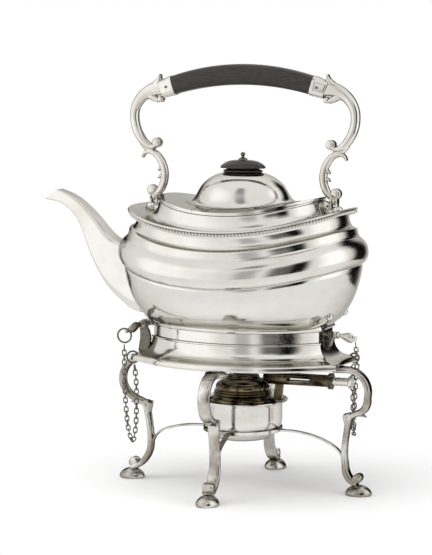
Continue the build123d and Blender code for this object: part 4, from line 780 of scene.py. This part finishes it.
# Each chain hangs along a line from its pin's ring to its ring on the skirt
LEFT_CHAIN = [(-78.6, -51.4, 116.4), (-79, -50.4, 92), (-79.2, -47.6, 66), (-78.6, -43.6, 46),
              (-77.6, -38.9, 37.6), (-77.4, -34, 46), (-78.2, -29.6, 66), (-79.6, -27.2, 84),
              (-81.4, -26.3, 97.2)]
RIGHT_CHAIN = [(92, 0, 119.9), (91.9, 3, 112.4), (91, 8.4, 102), (89.5, 9.4, 84), (88.1, 10.4, 60.6),
               (86.5, 15.2, 43.8), (84, 21, 58.6), (82.4, 25, 84.6), (82.3, 27.2, 98.6)]
# Rings: middle, radius, radius of their wire and degrees turned about Z
TILTING_RING = ((-78.4, -51.3, 122.4), 5.4, 0.72, 8)
LOCKING_RING = ((91.9, 0, 121.6), 1.35, 0.5, 0)
SKIRT_RINGS = [((-82.4, -26.6, 102), 4.6, 0.75, 20), ((82.6, 27.4, 102.4), 3.7, 0.75, 20)]
LINK_WIRE, LINK_LENGTH, LINK_WIDTH = 0.5, 3.9, 2.0      # radius of the wire, and the hole's length and width
CHAIN_SIDE = (0.935, 0.354, 0.0)                        # the way that the flat of every other link faces
TENDRIL = [(50, 35.8, 131.4, 0.7), (57.5, 30.4, 132.6, 2.3), (64.5, 25, 133.8, 3.1), (70.2, 21.2, 135.8, 3.1),
           (74, 18.9, 138.4, 2.5), (76.2, 17.8, 141, 1.3)]     # places and radius
# Lobes of a handle lug, as place and radii, and the places of its two cheeks along X
LUG_LOBES = [((67.4, 0, 222.2), (5, 3.9, 4.9)), ((77, 0, 219.3), (4.6, 3.9, 4)),
             ((71.6, 0, 217.9), (4.6, 3.4, 3.6))]
LUG_CHEEKS = [(71.3, 73.2), (76, 77.8)]


def slab(outline, low, high, bevel=0.4):
    """Plate of an XZ outline between two places along Y with softened edges; every point of the outline
    can be seen from its middle."""
    p = np.asarray(outline, float)
    middle = p.mean(axis=0)
    inner = middle + (p - middle) * (1 - bevel / np.linalg.norm(p - middle, axis=1))[:, None]
    rows = [(inner, low), (p, low + bevel), (p, high - bevel), (inner, high)]
    return patch(np.array([np.stack([q[:, 0], np.full(len(q), y), q[:, 1]], axis=1) for q, y in rows]))


def knuckle_patch():
    """Turned knuckle of the kettle round the tilting pin, with a ring at each end."""
    return patch(lying(spun(both_ways(KNUCKLE), 36), (HINGE_X, 0, HINGE_HEIGHT), "y"))


def tube(line, radius, columns=18):
    """Round tube of changing radius along a line that never runs upright: circles square to the line."""
    line = np.asarray(line, float)
    forward = unit(np.gradient(line, axis=0))
    u = unit(np.cross(forward, (0, 0, 1)))
    v = np.cross(forward, u)
    t = circle(columns)[:, None]
    return patch(line[:, None] + radius[:, None, None] * (np.cos(t) * u[:, None] + np.sin(t) * v[:, None]))


def tendril_patches(end):
    """Cast tendrils that run along the lower corners of the kettle and end in a bud: end is 1 or -1."""
    patches, line = [], through(TENDRIL, 7)
    for side in (-1, 1):
        patches.append(tube(line[:, :3] * (end, side, 1), line[:, 3]))
        patches.append(ball((end * 76.8, side * 18, 139.8), (3.2, 3.2, 3.1)))
    return patches


def lug_patches(end):
    """Cast lobes on the shoulder and two cheeks beside the handle's eye: end is 1 or -1."""
    patches = [ball((end * x, y, z), radii) for (x, y, z), radii in LUG_LOBES]
    for low, high in LUG_CHEEKS:
        cheek = [(2.4, low), (3.2, low + 0.2), (3.5, low + 0.7), (3.5, high - 0.5), (3.2, high - 0.1),
                 (2.4, high)]
        patches.append(patch(lying(spun(cheek, 28), (0, 0, PIVOT_HEIGHT)) * (end, 1, 1)))
        patches.append(patch(carried([(end * (low + 0.95), 0, z) for z in (226, 219.6)], 3.1, 0.9, 3.4)))
    return patches


def thumb_patches(pin, direction, start):
    """Pin of one piece: its shaft and ribbed collar are turnings, and its leaf is ellipses of a half height
    and a half thickness, lowered by their droop."""
    shaft, ribs, leaf = pin
    patches = [patch(lying(spun(profile, sides), start, direction))
               for profile, sides in ((shaft, 24), (ribs, 32))]
    tall, along, thin, drop = through(leaf, 5).T[..., None]
    across, up = thin * np.cos(circle(28)), tall * np.sin(circle(28)) - drop
    along = along + 0 * up
    flat = np.stack((along, across, up) if direction == "x" else (across, -along, up), axis=-1)
    return patches + [patch(flat + np.array(start))]


def ring_patch(centre, radius, wire, turn):
    """Round ring of round wire, standing in the plane of Z and of X turned about Z."""
    t, s = circle(40)[:, None], circle(10)
    out = radius + wire * np.cos(s)
    points = np.stack([out * np.cos(t), wire * np.sin(s) + 0 * t, out * np.sin(t)], axis=-1)
    return loop(turned(points, turn) + np.array(centre))


def chain_patches(points, count):
    """Oval links along a hanging line: link i is turned a quarter from link i-1, give or take 14 degrees.
    A link is a ring of round wire whose ends are moved apart by its straight sides."""
    stations = even(even(through(points, 24), 400), count + 2)
    forward = unit(stations[2:] - stations[:-2])
    side = unit(np.cross(forward, CHAIN_SIDE))
    other = np.cross(forward, side)
    t, s = circle(14)[:, None], circle(6)
    out = LINK_WIDTH / 2 + LINK_WIRE + LINK_WIRE * np.cos(s)
    straight = np.sign(np.cos(t)) * (np.abs(np.cos(t)) > 1e-6) * (LINK_LENGTH - LINK_WIDTH) / 2
    link = (out * np.cos(t) + straight, out * np.sin(t), LINK_WIRE * np.sin(s) + 0 * t)
    u, v, w = (way[..., None] for way in link)
    patches = []
    for i in range(count):
        twist = math.radians(90 * (i % 2) + 14 * math.sin(2.4 * i))
        a = math.cos(twist) * side[i] + math.sin(twist) * other[i]
        patches.append(loop(stations[i + 1] + u * forward[i] + v * a + w * np.cross(forward[i], a)))
    return patches


# Sizes and finish that a user may change

class KettleSizes(bpy.types.PropertyGroup):
    """Sizes of the fine trim, in metres."""

    bead_radius: FloatProperty(name="Bead radius", description="Radius of one bead on the rim", unit="LENGTH",
                               default=1.15 * MM, min=0.3 * MM, max=3 * MM, precision=5)
    bead_spacing: FloatProperty(name="Bead spacing", description="Distance between beads", unit="LENGTH",
                                default=2.7 * MM, min=0.8 * MM, max=8 * MM, precision=5)
    left_links: IntProperty(name="Left links", description="Links in the tilting pin's chain", default=37,
                            min=5, max=80)
    right_links: IntProperty(name="Right links", description="Links in the locking pin's chain", default=34,
                             min=5, max=80)


def colour(name, description, hex_colour):
    """Colour property whose default is an sRGB hex value."""
    return FloatVectorProperty(name=name, description=description, subtype="COLOR", size=4, min=0, max=1,
                               default=linear(hex_colour))


class KettleFinish(bpy.types.PropertyGroup):
    """Colours of the finishes, in linear light."""

    silver: colour("Silver", "Rubbed silver plate", "dedcd7")
    tarnish: colour("Tarnish", "Warm film on silver", "c9c2b4")
    old_tarnish: colour("Old tarnish", "Film on parts seldom rubbed", "857b6c")
    # painted shade and tarnish: the grey that darkens hollows and creases
    grime_and_painted_shade: colour("Grime_and_painted_shade", "Tarnish left in hollows", "45423b")
    wood: colour("Wood", "Stained wood", "131110")
    wood_worn: colour("Worn wood", "Stained wood along its grain", "3a332d")
    burner: colour("Burner", "Burner metal, browned", "211a13")
    burner_bright: colour("Bright burner", "Burner metal where rubbed", "94856c")
    wire: colour("Wire", "Chain wire", "8f8a80")
    wire_dark: colour("Dark wire", "Chain wire between the links", "47433b")
    wick: colour("Wick", "Cotton", "8c7f6a")
    wick_singed: colour("Singed wick", "Cotton between its plaits", "4a4238")


class KettleOperator:
    """What the operators share."""

    bl_options = {"REGISTER", "UNDO"}


class KETTLE_OT_materials(KettleOperator, bpy.types.Operator):
    """Make the finishes and give each plain node its own"""

    bl_idname = "kettle.materials"
    bl_label = "Materials"

    def execute(self, context):
        for make in (silver_plate, cast_silver, unpolished_silver, ebonised_wood, patinated_brass, wire_metal,
                     cotton_wick):
            make(context.scene.kettle_finish)
        slots = {part["node"]: part["material_slot"] for part in frame["record"]["subparts"]}
        slots.update(regulator_sleeve="burner_metal", sleeve_bracket="burner_metal",
                     grip_rivets="chain_metal")
        for name, obj in frame["nodes"].items():
            obj.data.materials.clear()
            obj.data.materials.append(MATERIALS[slots[name]])
        return {"FINISHED"}


class KETTLE_OT_body(KettleOperator, bpy.types.Operator):
    """Raise the body, its rim with beads, the collar and the two top sheets"""

    bl_idname = "kettle.body"
    bl_label = "Body"

    def execute(self, context):
        sizes = context.scene.kettle_sizes
        piece("Body", [kettle_skin()], "kettle", "kettle_body")
        piece("Rim_and_Collar", [rim_skin()], "kettle", "rim_and_collar")
        line = boat_rows([BEAD_LINE], RIM_SQUARENESS, 720)[0]
        piece("Rim_Beads", beads(line, sizes.bead_spacing / MM, sizes.bead_radius / MM), "kettle", sharp=80,
              weld=False)
        piece("Top_Sheets", [plate_half(1), plate_half(-1)], "kettle", "top_plate")
        piece("Foot_Band", [foot_skin()], "kettle")
        piece("Hinge_Knuckle", [knuckle_patch(), slab(WEB_OUTLINE, -16.4, 16.4)], "kettle", "hinge_knuckle")
        for end, word in ((1, "right"), (-1, "left")):
            piece("Tendrils_" + word, tendril_patches(end), "kettle", "end_leaf_" + word, finish="cast_plate")
            piece("Handle_Lug_" + word, lug_patches(end), "kettle", "handle_lug_" + word, finish="cast_plate")
        return {"FINISHED"}


class KETTLE_OT_lid(KettleOperator, bpy.types.Operator):
    """Make the domed lid and its finial"""

    bl_idname = "kettle.lid"
    bl_label = "Lid"

    def execute(self, context):
        piece("Lid", [lid_skin()], "lid", "lid_shell")
        tier = spun(through(TIER_RUN, 4), narrower=5.7)
        disc = spun(runs([(12.4, 250.4), (17.9, 250.6)], (DISC_RUN, 4)), narrower=7)
        piece("Finial_Tier", [patch(tier)], "lid", "finial_base", slot="ebonised_wood")
        piece("Finial_Disc", [patch(disc)], "lid", "finial_disc", slot="ebonised_wood")
        piece("Finial_Nut", [patch(spun(through(NUT_RUN, 4), 40))], "lid", "finial_nut", finish="chain_metal")
        return {"FINISHED"}


class KETTLE_OT_spout(KettleOperator, bpy.types.Operator):
    """Make the swan-neck spout"""

    bl_idname = "kettle.spout"
    bl_label = "Spout"

    def execute(self, context):
        piece("Spout", [spout_skin()], "kettle", "spout")
        return {"FINISHED"}


class KETTLE_OT_handle(KettleOperator, bpy.types.Operator):
    """Make the grip, its ferrules and the scrolls"""

    bl_idname = "kettle.handle"
    bl_label = "Handle"

    def execute(self, context):
        piece("Grip", [grip_skin()], "handle", "grip", slot="ebonised_wood")
        for side, word in ((1, "right"), (-1, "left")):
            piece("Ferrule_" + word, [ferrule_skin(side)], "handle", "ferrule_" + word)
            patches = [(points * (side, 1, 1), *closing) for points, *closing in scroll_patches()]
            piece("Scroll_" + word, patches, "handle", "scroll_" + word, finish="cast_plate")
        return {"FINISHED"}


class KETTLE_OT_stand(KettleOperator, bpy.types.Operator):
    """Make the skirt, legs, pads, stretchers and lamp ring of the stand"""

    bl_idname = "kettle.stand"
    bl_label = "Stand"

    def execute(self, context):
        piece("Stand_Skirt", [frame_skin()], "stand", "stand_frame")
        for turn, word in enumerate(("right", "back", "left", "front")):
            place = (FRAME_EDGE - LENGTH_SURPLUS * (turn % 2), 90 * turn)
            lean = LEANS.get(word, 0.0)
            piece("Leg_" + word, leg_patches(*place, lean), "stand", "leg_" + word, finish="unpolished_plate")
            piece("Pad_" + word, [pad_patch(*place)], "stand", "foot_" + word, finish="unpolished_plate")
            piece("Stretcher_" + word, [stretcher_patch(*place, lean)], "stand", "stretcher_" + word,
                  finish="unpolished_plate")
        posts = [slab(POST_OUTLINE, low, low + 3.0) for low in (-20.7, 17.7)]
        # painted shade: the hinge posts take the darker, duller wire finish instead of silver, for the shade
        # they stand in
        piece("Hinge_Posts", posts, "stand", "hinge_post_front", "hinge_post_back", finish="chain_metal")
        piece("Lock_Lug", [slab(LUG_OUTLINE, -3.9, 3.9, 0.9)], "stand", "lock_lug", finish="chain_metal")
        piece("Chain_Rings", [ring_patch(*ring) for ring in SKIRT_RINGS], "stand", "frame_rings",
              slot="chain_metal")
        piece("Lamp_Ring", [loop(spun(LAMP_RING, 112))], "stand", "lamp_ring", finish="unpolished_plate")
        return {"FINISHED"}


class KETTLE_OT_lamp(KettleOperator, bpy.types.Operator):
    """Make the spirit cup, its flange and the burner's cover"""

    bl_idname = "kettle.lamp"
    bl_label = "Lamp"

    def execute(self, context):
        piece("Spirit_Cup", [cup_patch()], "lamp", "lamp_cup")
        piece("Lamp_Flange", [loop(spun(FLANGE, 128))], "lamp", "lamp_flange")
        piece("Burner_Cover", [dome_patch()], "lamp", "burner_dome", slot="burner_metal")
        return {"FINISHED"}


class KETTLE_OT_chains(KettleOperator, bpy.types.Operator):
    """Make both pins, their rings and both chains"""

    bl_idname = "kettle.chains"
    bl_label = "Chains"

    def execute(self, context):
        sizes = context.scene.kettle_sizes
        pin = thumb_patches(TILTING_PIN, "-y", (HINGE_X, 0, HINGE_HEIGHT))
        piece("Tilting_Pin", pin, "tilt_pin", "hinge_pin", finish="unpolished_plate")
        piece("Pin_Ring", [ring_patch(*TILTING_RING)], "tilt_pin", "hinge_pin_ring", slot="chain_metal")
        pin = thumb_patches(LOCKING_PIN, "x", (0, 0, LOCK_HEIGHT)) + [ring_patch(*LOCKING_RING)]
        piece("Lock_Pin", pin, "lock_pin", "lock_pin", finish="unpolished_plate")
        left = piece("Chain_left", chain_patches(LEFT_CHAIN, sizes.left_links), None, "chain_left",
                     slot="chain_metal", weld=False)
        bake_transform(left)
        right = piece("Chain_right", chain_patches(RIGHT_CHAIN, sizes.right_links), None, "chain_right",
                      slot="chain_metal", weld=False)
        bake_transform(right)
        return {"FINISHED"}


# Stage

CAMERA_DISTANCE = 1533.0    # from the object's axis, level
CAMERA_HEIGHT = 331.0
CAMERA_AZIMUTH = 20.75      # degrees
CAMERA_PITCH = 6.17         # degrees downwards
CAMERA_LENS = 128.2
CAMERA_SHIFT = -0.0486
# Upright cards round the object, seen by reflections alone: name, direction in degrees from +X, distance,
# width, low and high edge, tone, strength
CARDS = [
    ("Card_grey_front", -60, 690, 400, 0, 640, "747471", 1),
    ("Card_dark_front", -42.5, 660, 380, 0, 740, "080807", 1),
    ("Card_pale_front", -88, 720, 300, 0, 700, "c4c4c4", 1),
    ("Card_window", 5, 690, 800, 0, 1100, "ffffff", 1.4),
    ("Card_dark_right", 58, 640, 600, 0, 1100, "0d0c0b", 1),
    ("Card_left_light", -139.5, 700, 1000, 0, 1100, "ffffff", 1.3),
    ("Card_back_left", 141, 670, 430, 0, 600, "181816", 1),
    ("Card_above_front", -95, 640, 400, 640, 1500, "a0a0a0", 1),
]
# Soft sheets of light: name, place, size, power in watts and the point that they face
LIGHTS = [("Top_Light", (-200, -300, 1500), (1400, 1400), 11, (0, 0, 150)),
          ("Left_Light", (-1400, -1000, 900), (900, 1200), 7, (0, 0, 180)),
          ("Right_Light", (1500, -300, 800), (700, 1200), 5, (0, 0, 180))]
PAPER_HALF = 1200                   # half the side of the square of paper
SMOOTH = {"interpolation_type": "SMOOTHSTEP"}
FADE_START, FADE_END = 0.06, 0.33   # metres from the middle over which the paper fades away
CARD_FADE = 0.36                    # share of a card over which it fades from its edge
SHADE_LEVEL = 0.66                  # light of the room on the object, beside 1 for what is seen of it


def stage_sheet(name, corners, material, shown=True):
    """Flat sheet between four corners, with a square UV map."""
    mesh = bpy.data.meshes.new(name)
    mesh.from_pydata((corners * MM).tolist(), [], [(0, 1, 2, 3)])
    mesh.uv_layers.new(name="Sheet").data.foreach_set("uv", (0, 0, 1, 0, 1, 1, 0, 1))
    mesh.materials.append(material)
    obj = bpy.data.objects.new(name, mesh)
    bpy.context.scene.collection.objects.link(obj)
    obj.visible_camera = obj.visible_diffuse = obj.visible_shadow = obj.visible_transmission = shown


def soft_light(name, place, size, power, aim):
    """Rectangular sheet of light at a place, turned to face a point."""
    lamp = bpy.data.lights.new(name, "AREA")
    lamp.shape = "RECTANGLE"
    lamp.size, lamp.size_y = size[0] * MM, size[1] * MM
    lamp.energy = power
    obj = bpy.data.objects.new(name, lamp)
    bpy.context.scene.collection.objects.link(obj)
    obj.location = Vector(place) * MM
    obj.rotation_euler = (Vector(aim) - Vector(place)).to_track_quat("-Z", "Y").to_euler()
    obj.visible_glossy = False


def fading_paper():
    """White paper that fades out to the white backdrop at some distance from the object, so that it
    shows the shadow and no far edge."""
    material = bpy.data.materials.new("White Paper")
    tree = clean_tree(material)
    far = add_node(tree, "VectorMath", {"operation": "LENGTH"}, add_node(tree, "TexCoord").outputs["Object"])
    fade = add_node(tree, "MapRange", SMOOTH, Value=far, From_Min=FADE_START, From_Max=FADE_END)
    paper = add_node(tree, "BsdfDiffuse", Color=linear("fbfbfb"))
    mixed = add_node(tree, "MixShader", None, fade, paper, add_node(tree, "BsdfTransparent"))
    add_node(tree, "OutputMaterial", Surface=mixed)
    return material


def card_material(name, tone, strength, standing):
    """Card of one even tone that fades away towards its edges, but not where it stands on the table: it
    shines with that tone, and only reflections see it."""
    material = bpy.data.materials.new(name)
    tree = clean_tree(material)
    parts = add_node(tree, "SeparateXYZ", Vector=add_node(tree, "TexCoord").outputs["UV"])
    away = [add_node(tree, "Math", {"operation": "PINGPONG"}, parts.outputs[axis], 0.5) for axis in "XY"]
    if standing:
        away[1] = add_node(tree, "Math", {"operation": "SUBTRACT"}, 1.0, parts.outputs["Y"])
    fades = (add_node(tree, "MapRange", SMOOTH, Value=gap, From_Max=CARD_FADE) for gap in away)
    cover = add_node(tree, "Math", {"operation": "MULTIPLY"}, *fades)
    shine = add_node(tree, "Emission", Color=linear(tone), Strength=strength)
    mixed = add_node(tree, "MixShader", None, cover, add_node(tree, "BsdfTransparent"), shine)
    add_node(tree, "OutputMaterial", Surface=mixed)
    return material


def white_room():
    """World that is white where the camera, a reflection or clear glass sees it, and lights less strongly."""
    world = bpy.data.worlds.new("Studio")
    bpy.context.scene.world = world
    tree = clean_tree(world)
    ray = add_node(tree, "LightPath").outputs
    either = {"operation": "ADD", "use_clamp": True}
    seen = add_node(tree, "Math", either, ray["Is Camera Ray"], ray["Is Glossy Ray"])
    seen = add_node(tree, "Math", either, seen, ray["Is Transmission Ray"])
    strength = add_node(tree, "MapRange", Value=seen, To_Min=SHADE_LEVEL, To_Max=1.0)
    add_node(tree, "OutputWorld", Surface=add_node(tree, "Background", Color=(1, 1, 1, 1), Strength=strength))


class KETTLE_OT_stage(KettleOperator, bpy.types.Operator):
    """Set up the floor, the cards, the soft light and the camera"""

    bl_idname = "kettle.stage"
    bl_label = "Stage"

    def execute(self, context):
        square = np.array([(-1, 1, 0), (-1, -1, 0), (1, -1, 0), (1, 1, 0)])
        stage_sheet("Floor", square * PAPER_HALF, fading_paper())
        for name, direction, distance, width, low, high, tone, strength in CARDS:
            card = [(distance, y, z) for y, z in ((width / 2, low), (-width / 2, low), (-width / 2, high),
                                                  (width / 2, high))]
            card = turned(np.array(card), direction)
            stage_sheet(name, card, card_material(name, tone, strength, low == 0), shown=False)
        for light in LIGHTS:
            soft_light(*light)
        white_room()
        camera = bpy.data.cameras.new("Camera")
        camera.lens, camera.sensor_width, camera.sensor_fit = CAMERA_LENS, 36.0, "AUTO"
        camera.shift_x = CAMERA_SHIFT
        camera.clip_end = 20
        obj = bpy.data.objects.new("Camera", camera)
        context.scene.collection.objects.link(obj)
        turn = math.radians(CAMERA_AZIMUTH)
        place = (CAMERA_DISTANCE * math.sin(turn), -CAMERA_DISTANCE * math.cos(turn), CAMERA_HEIGHT)
        obj.location = np.multiply(place, MM)
        obj.rotation_euler = (math.radians(90 - CAMERA_PITCH), 0, turn)
        context.scene.camera = obj
        context.scene.view_settings.view_transform = "Standard"
        return {"FINISHED"}


class KETTLE_PT_panel(bpy.types.Panel):
    """List of the steps and the sizes"""

    bl_idname = "KETTLE_PT_panel"
    bl_label = "Table Kettle"
    bl_space_type = "VIEW_3D"
    bl_region_type = "UI"
    bl_category = "Kettle"

    def draw(self, context):
        for step in STEPS:
            self.layout.operator(step.bl_idname)
        for group in (context.scene.kettle_sizes, context.scene.kettle_finish):
            box = self.layout.box()
            for name in group.__annotations__:
                box.prop(group, name)


STEPS = [KETTLE_OT_materials, KETTLE_OT_body, KETTLE_OT_lid, KETTLE_OT_spout, KETTLE_OT_handle,
         KETTLE_OT_stand, KETTLE_OT_lamp, KETTLE_OT_chains, KETTLE_OT_stage]
CLASSES = [KettleSizes, KettleFinish] + STEPS + [KETTLE_PT_panel]


def register():
    """Register the classes and put their sizes and colours on the scene."""
    for cls in CLASSES:
        bpy.utils.register_class(cls)
    bpy.types.Scene.kettle_sizes = PointerProperty(type=KettleSizes)
    bpy.types.Scene.kettle_finish = PointerProperty(type=KettleFinish)


def unregister():
    """Take all of it away again."""
    del bpy.types.Scene.kettle_finish
    del bpy.types.Scene.kettle_sizes
    for cls in reversed(CLASSES):
        bpy.utils.unregister_class(cls)


def main():
    """Run every step in order."""
    register()
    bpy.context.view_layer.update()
    for step in STEPS:
        group, name = step.bl_idname.split(".")
        getattr(getattr(bpy.ops, group), name)()


if __name__ == "__main__":
    main()
